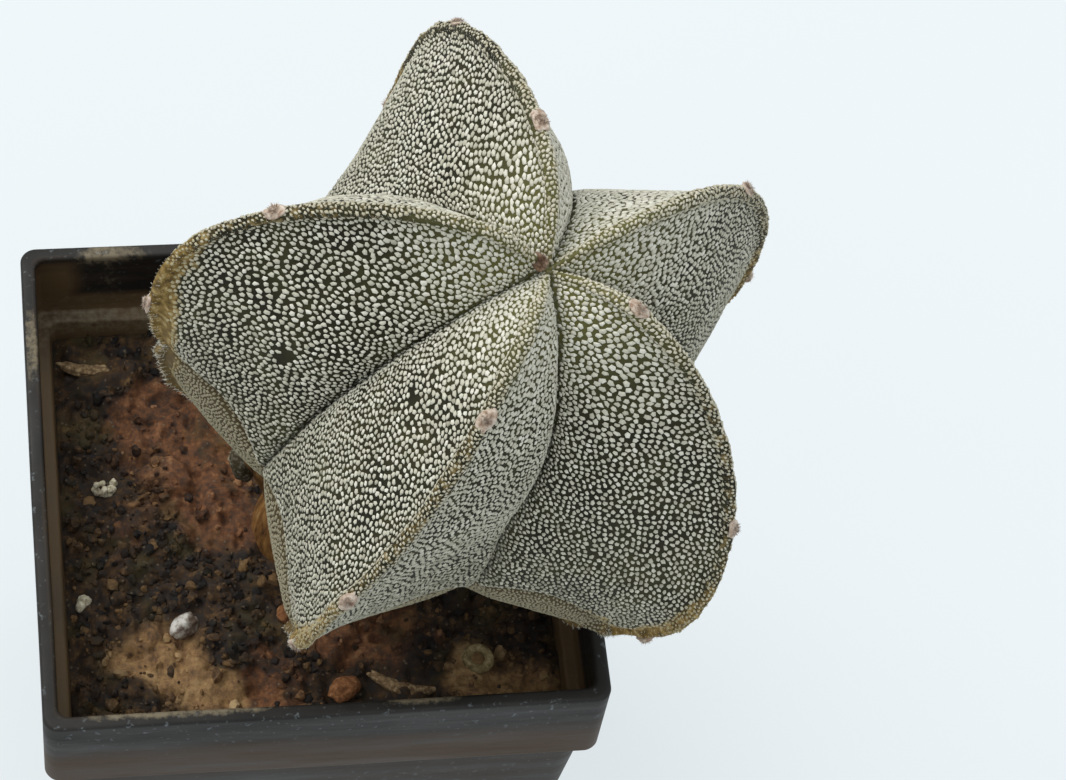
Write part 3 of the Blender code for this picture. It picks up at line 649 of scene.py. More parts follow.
def areole_wool(name, dark, middle, pale):
    """Short felted wool of the areoles and the crown, matted in tufts of about 0.6 mm."""
    return grain_material(name, 0.6, ((0.32, dark), (0.5, middle), (0.72, pale)), 1.0, 0.2, 0.8, 5.0,
                          0.5, Sheen_Weight=0.2, Specular_IOR_Level=0.15)


def opal_sheet():
    """A light table's matte opal sheet: it glows a little, so that shadows on it stay faint."""
    made, tree, shader, place = start_material("matte_opal_acrylic", Roughness=0.9,
                                               Specular_IOR_Level=0.1, Emission_Strength=0.67)
    colour = ramp(tree, swells(tree, place, 120, 2.0), (0.3, "878888"), (0.7, "8b8b8b"))
    tree.links.new(colour, shader.inputs["Base Color"])
    shader.inputs["Emission Color"].default_value = srgb("eff8fc")
    return made


# The plant's skin


UP = unit(APEX - FOOT)
SIDE = unit(np.cross((0, 1, 0), UP))
AWAY = np.cross(UP, SIDE)


def smooth_curve(knots):
    """Shares of the length, and points, at close steps of a smooth curve through a profile's knots."""
    p = np.array(knots, float) * MM
    p = np.vstack([2 * p[0] - p[1], p, 2 * p[-1] - p[-2]])
    t = np.linspace(0, 1, 24, endpoint=False)[:, None]
    dense = []
    for a, b, c, d in zip(p[:-3], p[1:-2], p[2:-1], p[3:]):
        cubic = 3 * (b - c) + d - a
        square = 2 * a - 5 * b + 4 * c - d
        dense.append(b + 0.5 * t * (c - a + t * (square + t * cubic)))
    dense = np.vstack(dense + [p[-2:-1]])
    length = np.concatenate([[0], np.cumsum(np.linalg.norm(np.diff(dense, axis=0), axis=1))])
    return length / length[-1], dense


def row_part(row):
    """The part of the profile that each row is in, and its share of the way down that part."""
    starts = np.cumsum((0,) + ROWS)
    part = np.clip(np.searchsorted(starts, row, side="right") - 1, 0, len(ROWS) - 1)
    share = (row - starts[part]) / np.array(ROWS)[part]
    return part, np.clip(share, 0, 1)


def profile_points(parts, row):
    """How far out and how far below the apex each row of a profile is."""
    part, share = row_part(row)
    out = np.zeros(row.shape)
    down = np.zeros(row.shape)
    for number, (knots, count) in enumerate(zip(parts, ROWS)):
        here = part == number
        full = 1.0 if number == len(parts) - 1 else 1 - SEAM_SHARE / count
        step = share[here] * count
        along = np.minimum(step / (count - 1), 1) * full
        along += np.maximum(step - (count - 1), 0) * (1 - full)
        shares, dense = smooth_curve(knots)
        out[here] = np.interp(along, shares, dense[:, 0])
        down[here] = np.interp(along, shares, dense[:, 1])
    return out, down


def rib_angle(rib, share):
    """Angle of a ridge round the axis, in radians, at a share of the way from apex to crease."""
    values = RIBS[rib % len(RIBS)]
    degrees, end = values["bow"]
    bow = degrees * np.sin(np.pi * np.minimum(share / end, 1.0))
    sweep = values["sweep"] * smooth_step(0.35, 1.0, share)
    return np.radians(FIRST_RIB_ANGLE - RIB_SPACING * rib + values["turn"] + bow + sweep)


def place_on_plant(out, down, angle):
    out, down, angle = (np.asarray(v)[..., None] for v in (out, down, angle))
    return APEX + out * (np.cos(angle) * SIDE + np.sin(angle) * AWAY) - down * UP


def bowed_row(row, u):
    """A row rises in the middle of each flank near the crease, as the growth line does."""
    crease, old_end = ROWS[0], ROWS[0] + ROWS[1]
    near = smooth_step(0.35 * crease, crease, row) * (1 - smooth_step(crease, old_end, row))
    return row - CREASE_BOW_ROWS * near * np.sin(np.pi * u ** 0.8)


def flank_points(rib, side, row, u):
    """Points of one flank, from its groove, where u is 0, to its ridge, where u is 1."""
    valley = rib if side > 0 else rib - 1
    place = bowed_row(row, u)
    part, share = row_part(place)
    turn_share = np.where(part == 0, share, 1.0)
    head = np.where(part == 0, 1.0, np.maximum(0.0, 1 - (part - 1 + share) / HEAD_FADE))
    out, down = profile_points(RIDGE, place)
    scale = 1 + head * (RIBS[rib]["reach"] / MEAN_REACH - 1)
    drop = RIBS[rib]["drop"] * head * (out / (MEAN_REACH * MM)) ** 2 * MEAN_REACH * MM
    out = out * scale
    down = down * scale + drop
    angle = rib_angle(rib, turn_share)
    low_out, low_down = profile_points(GROOVE, place)
    low_out = low_out * (1 + head * (GROOVE_REACH[valley] - 1))
    low_angle = (rib_angle(valley, turn_share) + rib_angle(valley + 1, turn_share)) / 2
    high = place_on_plant(out, down, angle)
    low = place_on_plant(low_out, low_down, low_angle)
    share_up = u[..., None]
    chord = low + share_up * (high - low)
    arc = place_on_plant(low_out + u * (out - low_out), low_down + u * (down - low_down),
                         low_angle + u * (angle - low_angle))
    roundness = np.choose(part, (0.0, 0.0, smooth_step(0.35, 0.85, share), 1.0))[..., None]
    return chord + roundness * (arc - chord)


def skin_rows():
    """Rows down the plant, closer together at the two creases."""
    crease, old_end = ROWS[0], ROWS[0] + ROWS[1]
    rows = set(np.arange(0.5, sum(ROWS) - 1, ROW_STEP).round(3))
    for middle in (crease, old_end):
        rows |= set((middle + np.arange(-6, 7) * CREASE_ROW_STEP).round(3))
    return np.array(sorted(rows))


def skin_shares():
    inner = np.linspace(0, RIM_START, FLANK_INNER_STEPS, endpoint=False)
    return np.concatenate([inner, np.linspace(RIM_START, 1, FLANK_RIM_STEPS + 1)])


def skin_grid():
    """The smooth skin as rows and columns, with what each point's place on its flank is."""
    rows = skin_rows()
    shares = skin_shares()
    blocks = []
    for rib in range(len(RIBS)):
        for side, run in ((1, shares[:0:-1]), (-1, shares[:-1])):
            owner = rib if side > 0 else (rib + 1) % len(RIBS)
            row, u = np.meshgrid(rows, run, indexing="ij")
            points = flank_points(owner, side, row, u)
            blocks.append({"points": points, "row": row, "u": u, "rib": np.full(u.shape, owner),
                           "side": np.full(u.shape, side),
                           "swell": np.full(u.shape, RIBS[owner]["swell"][0 if side > 0 else 1])})
    return {key: np.concatenate([b[key] for b in blocks], axis=1) for key in blocks[0]}


def surface_normals(points):
    down = np.gradient(points, axis=0)
    round_it = np.roll(points, -1, axis=1) - np.roll(points, 1, axis=1)
    normal = unit(np.cross(down, round_it))
    centre = FOOT + np.array((0, 0, 20 * MM))
    return normal if ((points - centre) * normal).sum() > 0 else -normal


def fullness(part, share):
    head = 0.25 + 0.75 * smooth_step(0.12, 0.5, share)
    head *= 1 - (1 - LOW_FULLNESS) * smooth_step(0.55, 1.0, share)
    stem = LOW_FULLNESS * (1 - smooth_step(0.0, 0.5, share))
    return np.choose(part, (head, LOW_FULLNESS, stem, 0.0))


def finished_skin():
    """The skin with its swelling, creases, raised rims, dents and cork, and its numbers for colour."""
    skin = skin_grid()
    base = skin["points"]
    normals = surface_normals(base)
    row, u = skin["row"], skin["u"]
    part, share = row_part(row)
    pitch = np.linalg.norm(np.roll(base, -1, axis=1) - base, axis=2)
    flank = (pitch.sum(axis=1) / (2 * len(RIBS)))[:, None] * np.ones_like(u)
    to_ridge = (1 - u) * flank
    to_groove = u * flank
    lift = FLANK_SLOPE * skin["swell"] * flank * fullness(part, share) * u * (1 - u) ** 2
    puffed = (1 - np.exp(-to_groove / PINCH_WIDTH)) * np.exp(-to_groove / PINCH_REACH)
    lift += PINCH_RISE * puffed * (part == 0) * smooth_step(*PINCH_START, share)
    crease_near = np.maximum(*(np.exp(-((row - middle) / CREASE_HALF_ROWS) ** 2)
                               for middle in (ROWS[0], ROWS[0] + ROWS[1])))
    deep = SHALLOW_CREASE + (1 - SHALLOW_CREASE) * np.sin(np.pi * u)
    lift -= CREASE_DEPTH * deep * crease_near
    on_rib = (part < 2) * np.minimum(1.0, flank / NARROW_FLANK)
    rim = on_rib * (1 - smooth_step(0.25 * RIM_WIDTH, RIM_WIDTH, to_ridge))
    lift += rim * (RIM_RISE + relief(base, RIM_LUMP, 1))
    aged = smooth_step(*OLD_LOBE_START, row / ROWS[0]) * (1 - smooth_step(*OLD_LOBE_EDGE, to_ridge))
    lift += aged * (part < 2) * relief(base, OLD_LOBE_LUMP, 9)
    lift += relief(base, SKIN_DENT, 2) * on_rib + relief(base, SKIN_GRAIN, 3)
    barky = smooth_step(*BARK_START, share) * (part == 2) * (1 - smooth_step(*BARK_END, share))
    grain = base * np.array((1, 1, 0.45))
    coarse, fine = BARK_WRINKLE_SIZES
    wrinkle = lumps(grain, coarse, 4) + 0.5 * lumps(base, fine, 5)
    lift += BARK_WRINKLE * barky * wrinkle
    points = base + lift[..., None] * normals
    skin.update(points=points, normals=surface_normals(points), part=part, flank=flank,
                to_ridge=to_ridge, to_groove=to_groove, crease=crease_near)
    return skin


def skin_colour_numbers(skin):
    """What the skin's material reads: crown, felt, cork and age, each from 0 to 1."""
    row, part = skin["row"], skin["part"]
    share = row / ROWS[0]
    crown = 1 - smooth_step(*CROWN_FADE, share)
    felt = np.maximum(1 - smooth_step(*GROOVE_FELT, skin["to_groove"]),
                      np.exp(-((row - ROWS[0] + 1.2) / 2.2) ** 2) * MOST_CREASE_FELT)
    felt = np.maximum(felt, MOST_RIDGE_FELT * (1 - smooth_step(*RIDGE_FELT, skin["to_ridge"])))
    felt = np.where(part == 1, OLD_LOBE_FELT, felt)
    rib_cork = np.array([rib["cork"] for rib in RIBS])[skin["rib"]]
    tip = smooth_step(*TIP_START, share) * rib_cork
    band = CORK_BAND + TIP_CORK_BAND * tip
    blotch = relief(skin["points"], CORK_RAGGEDNESS, 6)
    cork = 1 - smooth_step(0.5 * band, 1.4 * band, skin["to_ridge"] * (1 + blotch))
    for rib, side, scar_row, u, radius in SCARS:
        spot = flank_points(rib, side, np.array([scar_row]), np.array([u]))[0]
        away = np.linalg.norm(skin["points"] - spot, axis=2) * (1 + blotch)
        scar = SCAR_STRENGTH * (1 - smooth_step(0.45 * radius * MM, radius * MM, away))
        cork = np.maximum(cork, scar)
    cork = cork * (PLAIN_RIDGE_CORK + (1 - PLAIN_RIDGE_CORK) * tip)
    cord = 1 - smooth_step(0.8 * CORD_WIDTH, 1.1 * CORD_WIDTH, skin["to_ridge"])
    golden = np.minimum(1.0, rib_cork / 0.7)
    cork = np.maximum(cork, CORD_GOLD * cord * golden * smooth_step(0.1, 0.4, share))
    cork = np.where(part >= 2, 0.0, cork)
    barked = row_part(row)[1] + relief(skin["points"], BARK_RAGGEDNESS, 46)
    age = np.choose(part, (0.0, 0.5, 0.5 + 0.5 * smooth_step(0.0, 0.4, barked), 1.0))
    return {"crown": crown, "felt": np.clip(felt, 0, 1), "cork": cork, "age": age}


def make_skin(skin, surface):
    points = skin["points"]
    rows, columns, _ = points.shape
    end = 1 + rows * columns
    last = 1 + (rows - 1) * columns
    faces = ring_faces(rows, columns, start=1)
    faces += [(0, 1 + b, 1 + a) for a, b in ring_pairs(columns)]
    faces += [(end, last + b, last + a) for a, b in ring_pairs(columns)]
    every = np.vstack([APEX[None], points.reshape(-1, 3), points[-1].mean(axis=0)[None]])
    values = {key: np.concatenate([[v[0, 0]], v.ravel(), [v[-1, 0]]])
              for key, v in skin_colour_numbers(skin).items()}
    piece = add_piece("cactus_skin", every, faces, surface, values)
    turn_outward(piece)
    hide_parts("cactus_body")


# Woolly flecks


def fleck_spacing(skin):
    """Least distance between flecks: wide in the middle of a flank, close near its borders."""
    row, u, part = skin["row"], skin["u"], skin["part"]
    share = row / ROWS[0]
    roomy = smooth_step(*BROAD_FLANK, skin["flank"]) * smooth_step(0.15, 0.45, u)
    roomy *= (1 - smooth_step(0.72, 0.97, u)) * (1 - smooth_step(0.7, 0.93, share))
    wide = roomy * (0.62 + 0.38 * lumps(skin["points"], 9 * MM, 7))
    spacing = FLECK_SPACING + (FLECK_WIDE_SPACING - FLECK_SPACING) * wide
    tight = np.maximum(1 - smooth_step(*CLOSE_BY_GROOVE, skin["to_groove"]),
                       1 - smooth_step(*CLOSE_BY_RIDGE, skin["to_ridge"]))
    spacing += (FLECK_FINE_SPACING - spacing) * tight
    closer = np.array(FLECK_CLOSENESS)[skin["rib"], np.where(skin["side"] > 0, 0, 1)]
    spacing = spacing * (1 + (closer - 1) * smooth_step(0.2, 0.45, share))
    return np.where(part == 1, FLECK_FINE_SPACING, spacing)


def slanting_ways(skin):
    """Flecks lie slantwise on a flank: outward along the rib, and up toward its ridge."""
    across = np.roll(skin["points"], -1, axis=1) - skin["points"]
    climbs = np.roll(skin["u"], -1, axis=1) > skin["u"]
    down = np.gradient(skin["points"], axis=0)
    return unit(unit(across) * np.where(climbs, 1, -1)[..., None] + 0.9 * unit(down))


def spread_candidates(skin, draw):
    """Random places all over the ribs, as many to a square millimetre everywhere."""
    points = skin["points"]
    top = int(np.searchsorted(skin["row"][:, 0], ROWS[0] + ROWS[1]))
    nxt = np.roll(points, -1, axis=1)
    across = nxt[:-1] - points[:-1]
    along = points[1:] - points[:-1]
    area = np.linalg.norm(np.cross(across, along), axis=2)[:top]
    total = np.cumsum(area.ravel())
    picked = np.searchsorted(total, draw.random(FLECK_CANDIDATES) * total[-1])
    r, c = np.divmod(picked, points.shape[1])
    return r, c, draw.random(FLECK_CANDIDATES), draw.random(FLECK_CANDIDATES)


def between(values, r, c, down, right):
    """A grid's value at a place inside each of its cells."""
    if values.ndim == 3:
        down, right = down[:, None], right[:, None]
    c2 = (c + 1) % values.shape[1]
    upper = values[r, c] * (1 - right) + values[r, c2] * right
    lower = values[r + 1, c] * (1 - right) + values[r + 1, c2] * right
    return upper * (1 - down) + lower * down


def well_spaced(points, ways, spacing):
    """Takes points in turn, leaving out each too near one taken before. Room is longer along ways."""
    cell = FLECK_LENGTH * spacing.max()
    shorter = 1 - 1 / FLECK_LENGTH ** 2
    keys = np.floor(points / cell).astype(int).tolist()
    around = list(itertools.product((-1, 0, 1), repeat=3))
    cells = {}
    kept = []
    tries = zip(keys, points.tolist(), ways.tolist(), spacing.tolist())
    for number, ((kx, ky, kz), (x, y, z), (wx, wy, wz), own) in enumerate(tries):
        near = False
        for dx, dy, dz in around:
            for qx, qy, qz, other in cells.get((kx + dx, ky + dy, kz + dz), ()):
                reach = 0.5 * (own + other)
                ex, ey, ez = x - qx, y - qy, z - qz
                along = ex * wx + ey * wy + ez * wz
                if ex * ex + ey * ey + ez * ez - shorter * along * along < reach * reach:
                    near = True
                    break
            if near:
                break
        if not near:
            cells.setdefault((kx, ky, kz), []).append((x, y, z, own))
            kept.append(number)
    return np.array(kept)


def settled(spots, normals, ways, spacing):
    """Moves flecks apart along the skin until they stand in even rows, and tells the room each has."""
    tree = point_tree(spots)
    found = [[hit[1] for hit in tree.find_n(spot, SETTLING_NEIGHBOURS + 1)] for spot in spots.tolist()]
    near = np.array(found)[:, 1:]
    shorter = 1 - 1 / FLECK_LENGTH
    for _ in range(SETTLING_ROUNDS):
        gap = spots[:, None] - spots[near]
        gap -= (gap * normals[:, None]).sum(axis=2, keepdims=True) * normals[:, None]
        gap -= shorter * (gap * ways[:, None]).sum(axis=2, keepdims=True) * ways[:, None]
        length = np.linalg.norm(gap, axis=2)
        wanted = SETTLING_ROOM * 0.5 * (spacing[:, None] + spacing[near])
        push = np.clip(wanted - length, 0, None) * SETTLING_PUSH / np.maximum(length, 1e-9)
        spots = spots + (push[..., None] * gap).sum(axis=1)
    room = np.sort(length, axis=1)[:, :SETTLING_NEAREST].mean(axis=1)
    return spots, np.clip(room, SETTLED_ROOM[0] * spacing, SETTLED_ROOM[1] * spacing)


def fleck_solids(spots, normals, ways, radii, sides, draw):
    """Points and faces of low flat-topped tufts, each a closed solid with its foot in the skin."""
    count = len(spots)
    across = unit(ways - (ways * normals).sum(axis=1)[:, None] * normals)
    beside = np.cross(normals, across)
    turn = draw.normal(0, 0.25, count)[:, None]
    stretch = FLECK_LENGTH ** 0.5 * draw.uniform(0.88, 1.12, count)[:, None]
    around = np.arange(sides) * 2 * np.pi / sides
    angle = around + draw.uniform(-0.3, 0.3, (count, sides))
    reach = radii[:, None] * draw.uniform(0.8, 1.15, (count, sides))
    x = reach * stretch * np.cos(angle)
    y = reach / stretch * np.sin(angle)
    x, y = x * np.cos(turn) - y * np.sin(turn), x * np.sin(turn) + y * np.cos(turn)
    flat = x[..., None] * across[:, None] + y[..., None] * beside[:, None]
    height = (FLECK_HEIGHT * draw.uniform(0.8, 1.25, count))[:, None, None]
    foot = spots[:, None] + flat - 0.6 * height * normals[:, None]
    top = spots[:, None] + FLECK_TOP * flat + height * normals[:, None]
    points = np.concatenate([foot, top], axis=1).reshape(-1, 3)
    faces = []
    shape = [tuple(reversed(range(sides))), tuple(range(sides, 2 * sides))]
    shape += [(i, (i + 1) % sides, sides + (i + 1) % sides, sides + i) for i in range(sides)]
    for start in range(0, count * 2 * sides, 2 * sides):
        faces += [[start + i for i in face] for face in shape]
    return points, faces


def placed_flecks(skin, draw):
    """Each fleck's place in the grid, and its spot, normal, way along and room."""
    r, c, down, right = spread_candidates(skin, draw)
    spots = between(skin["points"], r, c, down, right)
    spacing = between(fleck_spacing(skin), r, c, down, right)
    woolly = 1 - between(bare_places(skin), r, c, down, right)
    # Where the skin is 95 % bare or more none grows, and under 5 % every one may
    keep = woolly > draw.random(len(woolly)) * 0.9 + 0.05
    keep &= (FLECK_FINE_SPACING / spacing) ** 2 > draw.random(len(woolly))
    order = np.flatnonzero(keep)
    ways = slanting_ways(skin)[r, c]
    order = order[well_spaced(spots[order], ways[order], spacing[order])]
    place = r[order], c[order], down[order], right[order]
    spots, spacing, ways = spots[order], spacing[order], ways[order]
    normals = unit(between(skin["normals"], *place))
    ways = unit(ways - (ways * normals).sum(axis=1)[:, None] * normals)
    spots, room = settled(spots, normals, ways, spacing)
    return place, spots, normals, ways, room


def make_flecks(skin, surface):
    """One piece of flecks for each rib."""
    draw = np.random.default_rng(5)
    place, spots, normals, ways, room = placed_flecks(skin, draw)
    rib, side, part, row = (skin[key][place[:2]] for key in ("rib", "side", "part", "row"))
    share = row / ROWS[0]
    to_ridge = between(skin["to_ridge"], *place)
    numbers = skin_colour_numbers(skin)
    cork, felt, crown = (between(numbers[key], *place) for key in ("cork", "felt", "crown"))
    cover = np.array(FLECK_COVER)[rib, np.where(side > 0, 0, 1)]
    cover = 1 + (cover - 1) * smooth_step(0.3, 0.6, share)
    size = FLECK_SIZE + (CROWN_FLECK_SIZE - FLECK_SIZE) * (1 - smooth_step(0.18, 0.55, share))
    radii = size * FLECK_LENGTH ** 0.5 * room * draw.uniform(0.88, 1.1, len(spots)) * cover
    tone = np.clip(draw.normal(*FLECK_TONE, len(spots)), 0, 1)
    # Flecks get painted light near the crown and painted shade low on each rib, besides their own greys
    tone += FELT_TONE * felt + CROWN_PAINTED_LIGHT * crown
    tone += LOW_PAINTED_SHADE * smooth_step(0.55, 1.0, share) + OLD_TONE * (part == 1) + COVER_TONE * (cover - 1)
    gold = np.clip(1.2 * cork - 0.05, 0, MOST_GOLD)
    on_ridge = 1 - smooth_step(0.3 * RIM_WIDTH, 1.2 * RIM_WIDTH, to_ridge)
    gold = np.maximum(gold, RIDGE_GOLD * on_ridge)
    gold = np.maximum(gold, OLD_GOLD * (part == 1))
    lined = np.where(side < 0, *RIDGE_LINE_STRENGTH)
    lined = lined * smooth_step(0.12, 0.25, share) * (1 - smooth_step(0.8, 1, share))
    foot_line = np.abs(ridge_distance(skin, spots) - RIDGE_LINE_PLACE) < RIDGE_LINE_WIDTH / 2
    clear = off_the_knocks(spots) & ~(foot_line & (draw.random(len(spots)) < lined))
    for number in range(len(RIBS)):
        solids = []
        values = {"tone": [], "gold": []}
        for sides, large in ((5, radii >= LARGE_FLECK), (4, radii < LARGE_FLECK)):
            own = (rib == number) & large & clear
            solids.append(fleck_solids(spots[own], normals[own], ways[own], radii[own], sides, draw))
            values["tone"].append(np.repeat(tone[own], 2 * sides))
            values["gold"].append(np.repeat(gold[own], 2 * sides))
        values = {key: np.concatenate(lots) for key, lots in values.items()}
        points, faces = joined(solids)
        add_piece(f"flecks_rib_{number + 1}", points, faces, surface, values)


def ridge_distance(skin, spots):
    """How far each spot is from the nearest ridge line."""
    tree = point_tree(skin["points"][:, skin["u"][0] == 1].reshape(-1, 3))
    return np.array([tree.find(spot)[2] for spot in spots.tolist()])


def off_the_knocks(spots):
    """False at flecks that stand on one of the two old knocks, whose outlines are ragged."""
    clear = np.ones(len(spots), bool)
    for x, y, z, radius in KNOCKS:
        away = np.linalg.norm(spots - np.array((x, y, z)) * MM, axis=1)
        clear &= away * (1 + 0.5 * lumps(spots, 1.5 * MM, 8)) > radius * MM
    return clear


def bare_places(skin):
    """1 where no fleck grows: the corky rims and the creases."""
    corky = skin_colour_numbers(skin)["cork"]
    bare = np.maximum(0.96 * smooth_step(0.45, 0.75, corky), 0.9 * (skin["crease"] > 0.5))
    return np.maximum(bare, np.where(skin["part"] == 1, OLD_LOBE_BARENESS, 0.0))


# Areoles and the crown's wool


def ridge_column(skin, rib):
    """The grid's column that runs down a rib's ridge."""
    return np.flatnonzero((skin["u"][0] == 1) & (skin["rib"][0] == rib))[0]


def ridge_place(skin, rib, share):
    """A point on a ridge and the way out from it."""
    line = skin["points"][:, ridge_column(skin, rib)]
    row = np.interp(share * ROWS[0], skin["row"][:, 0], np.arange(len(line)))
    low = int(row)
    spot = line[low] + (row - low) * (line[low + 1] - line[low])
    return spot, unit(skin["normals"][low, ridge_column(skin, rib)])


def tuft_cushion(centre, normal, radius, flatness, seed, along=DOWN_THE_PLANT, length=1.15):
    """Points and faces of a felted cushion, lumpy all over and longest along one way."""
    shape, faces = unit_ball(3)
    knob = 1 + 0.25 * lumps(shape + seed, 0.7, seed) + 0.10 * lumps(shape + seed, 0.2, seed + 1)
    shape = shape * knob[:, None] * np.array((0.9, length, flatness)) * radius
    across = unit(np.cross(along, normal))
    beside = np.cross(normal, across)
    points = centre + shape[:, :1] * across + shape[:, 1:2] * beside + shape[:, 2:] * normal
    return points, faces


def hair_solids(roots, ways, lengths, width):
    """Points and faces of thin tapered hairs, three sides to each."""
    across = unit(np.cross(ways, (0.41, 0.53, 0.74)))
    beside = np.cross(ways, across)
    ring = []
    for angle in (0, 2 * np.pi / 3, 4 * np.pi / 3):
        ring.append(roots + width * (np.cos(angle) * across + np.sin(angle) * beside))
    points = np.stack(ring + [roots + lengths[:, None] * ways], axis=1).reshape(-1, 3)
    faces = []
    for start in range(0, 4 * len(roots), 4):
        faces += [(start, start + 2, start + 1), (start, start + 1, start + 3),
                  (start + 1, start + 2, start + 3), (start + 2, start, start + 3)]
    return points, faces


def tuft(centre, normal, radius, flatness, hairs, seed, along=DOWN_THE_PLANT, length=1.15):
    """Points and faces of a cushion with short hairs that stand out of it all round."""
    draw = np.random.default_rng(seed)
    cushion = tuft_cushion(centre, normal, radius, flatness, seed, along, length)
    across = unit(np.cross(DOWN_THE_PLANT, normal))
    beside = np.cross(normal, across)
    angle = draw.uniform(0, 2 * np.pi, hairs)[:, None]
    lean = draw.uniform(0.0, MOST_HAIR_LEAN, hairs)[:, None]
    way = np.cos(lean) * normal + np.sin(lean) * (np.cos(angle) * across + np.sin(angle) * beside)
    way = unit(way + draw.normal(0, 0.18, (hairs, 3)))
    roots = centre + radius * 0.75 * way * np.maximum(np.sin(lean), flatness)
    lengths = radius * draw.uniform(*TUFT_HAIR_LENGTH, hairs)
    return joined([cushion, hair_solids(roots, way, lengths, TUFT_HAIR_RADIUS)])


def make_areoles(skin, surface, crown_surface):
    solids = []
    for rib, shares in enumerate(AREOLES):
        for share in shares:
            centre, normal = ridge_place(skin, rib, share)
            along = ridge_place(skin, rib, share + 0.03)[0] - ridge_place(skin, rib, share - 0.03)[0]
            along = unit(along - (along * normal).sum() * normal)
            solids.append(tuft(centre - AREOLE_SINK * normal, normal, AREOLE_RADIUS, AREOLE_FLATNESS,
                               AREOLE_HAIRS, len(solids), along, AREOLE_LENGTH))
    points, faces = joined(solids)
    add_piece("areoles", points, faces, surface)
    crown = APEX + CROWN_TUFT_SHIFT[0] * SIDE + CROWN_TUFT_SHIFT[1] * AWAY + CROWN_TUFT_RISE * UP
    points, faces = tuft(crown, UP, CROWN_TUFT_RADIUS, CROWN_TUFT_FLATNESS, CROWN_TUFT_HAIRS, 40, AWAY,
                         1.0)
    add_piece("crown_wool", points, faces, crown_surface)


def make_stem_knob(skin, surface, wool):
    """An old areole on the stem: a lump of hide with a woolly top."""
    column = ridge_column(skin, STEM_KNOB_RIB)
    row = np.searchsorted(skin["row"][:, 0], STEM_KNOB_ROW)
    centre, normal = skin["points"][row, column], skin["normals"][row, column]
    points, faces = tuft_cushion(centre, normal, STEM_KNOB_RADIUS, 0.6, 51)
    numbers = {"crown": 0.0, "felt": 1.0, "cork": 0.0, "age": 0.3}
    values = {key: np.full(len(points), number) for key, number in numbers.items()}
    add_piece("stem_knob", points, faces, surface, values)
    top = centre + 0.45 * STEM_KNOB_RADIUS * normal + 0.3 * STEM_KNOB_RADIUS * UP
    points, faces = tuft(top, unit(normal + UP), 0.4 * STEM_KNOB_RADIUS, 0.5, STEM_KNOB_HAIRS, 52)
    add_piece("stem_knob_wool", points, faces, wool,
              {"tone": np.full(len(points), 0.0), "gold": np.full(len(points), 0.4)})


def make_fringe(skin, surface):
    """Short white hairs that stand off every ridge, thickest toward the tips."""
    draw = np.random.default_rng(13)
    last = np.searchsorted(skin["row"][:, 0], ROWS[0] + ROWS[1] - 1)
    roots, ways, lengths = [], [], []
    for rib in range(len(RIBS)):
        column = ridge_column(skin, rib)
        share = draw.uniform(0.1, 1.0, FRINGE_HAIRS) ** 0.7
        row = np.minimum((share * last).astype(int), last - 1)
        beside = draw.integers(-FRINGE_COLUMNS, FRINGE_COLUMNS + 1, FRINGE_HAIRS)
        roots.append(skin["points"][row, (column + beside) % skin["u"].shape[1]])
        lean = draw.normal(0, 0.45, (FRINGE_HAIRS, 3))
        ways.append(unit(skin["normals"][row, column] + lean))
        longest = FRINGE_HAIR_LENGTH + TIP_HAIR_GAIN * smooth_step(0.5, 0.9, share) * RIBS[rib]["cork"]
        lengths.append(longest * draw.uniform(0.5, 1.2, FRINGE_HAIRS))
    roots, ways, lengths = np.vstack(roots), np.vstack(ways), np.concatenate(lengths)
    points, faces = hair_solids(roots, ways, lengths, FRINGE_HAIR_RADIUS)
    tone = np.repeat(draw.uniform(0.4, 1.0, len(roots)), 4)
    add_piece("ridge_fringe", points, faces, surface,
              {"tone": tone, "gold": np.zeros(len(tone))})


# The pot


def body_half_width(height):
    share = height / (POT_HEIGHT - COLLAR_HEIGHT)
    top = POT_RIM_WIDTH / 2 - COLLAR_DRAFT - COLLAR_STEP
    return BASE_WIDTH / 2 + share * (top - BASE_WIDTH / 2)


def inner_half_width(height):
    ledge = POT_RIM_WIDTH / 2 - COLLAR_WALL - LEDGE_WIDTH
    wall = body_half_width(POT_HEIGHT - COLLAR_HEIGHT) - ledge
    return body_half_width(height) - wall


def body_corner(height):
    share = height / (POT_HEIGHT - COLLAR_HEIGHT)
    return BASE_CORNER + share * (BODY_CORNER - BASE_CORNER)


def rounded_square(half_width, corner, height, side_steps=22, corner_steps=10):
    """Points round a square with rounded corners, anticlockwise from the front right corner's start."""
    points = []
    centre = half_width - corner
    for quarter in range(4):
        turn = Matrix.Rotation(math.radians(90 * quarter), 3, "Z")
        for step in range(side_steps):
            y = centre * (2 * step / side_steps - 1)
            points.append(turn @ Vector((half_width, y, height)))
        for step in range(corner_steps):
            angle = math.radians(90 * step / corner_steps)
            x = centre + corner * math.cos(angle)
            y = centre + corner * math.sin(angle)
            points.append(turn @ Vector((x, y, height)))
    return np.array(points)


def quarter_round(start, end, steps, hollow=False):
    """Half widths and heights on a quarter of an ellipse between two corners of its box."""
    (x0, z0), (x1, z1) = start, end
    found = []
    for step in range(1, steps + 1):
        angle = math.radians(90 * step / steps)
        if hollow:
            found.append((x0 + (x1 - x0) * (1 - math.cos(angle)), z0 + (z1 - z0) * math.sin(angle)))
        else:
            found.append((x0 + (x1 - x0) * math.sin(angle), z0 + (z1 - z0) * (1 - math.cos(angle))))
    return found


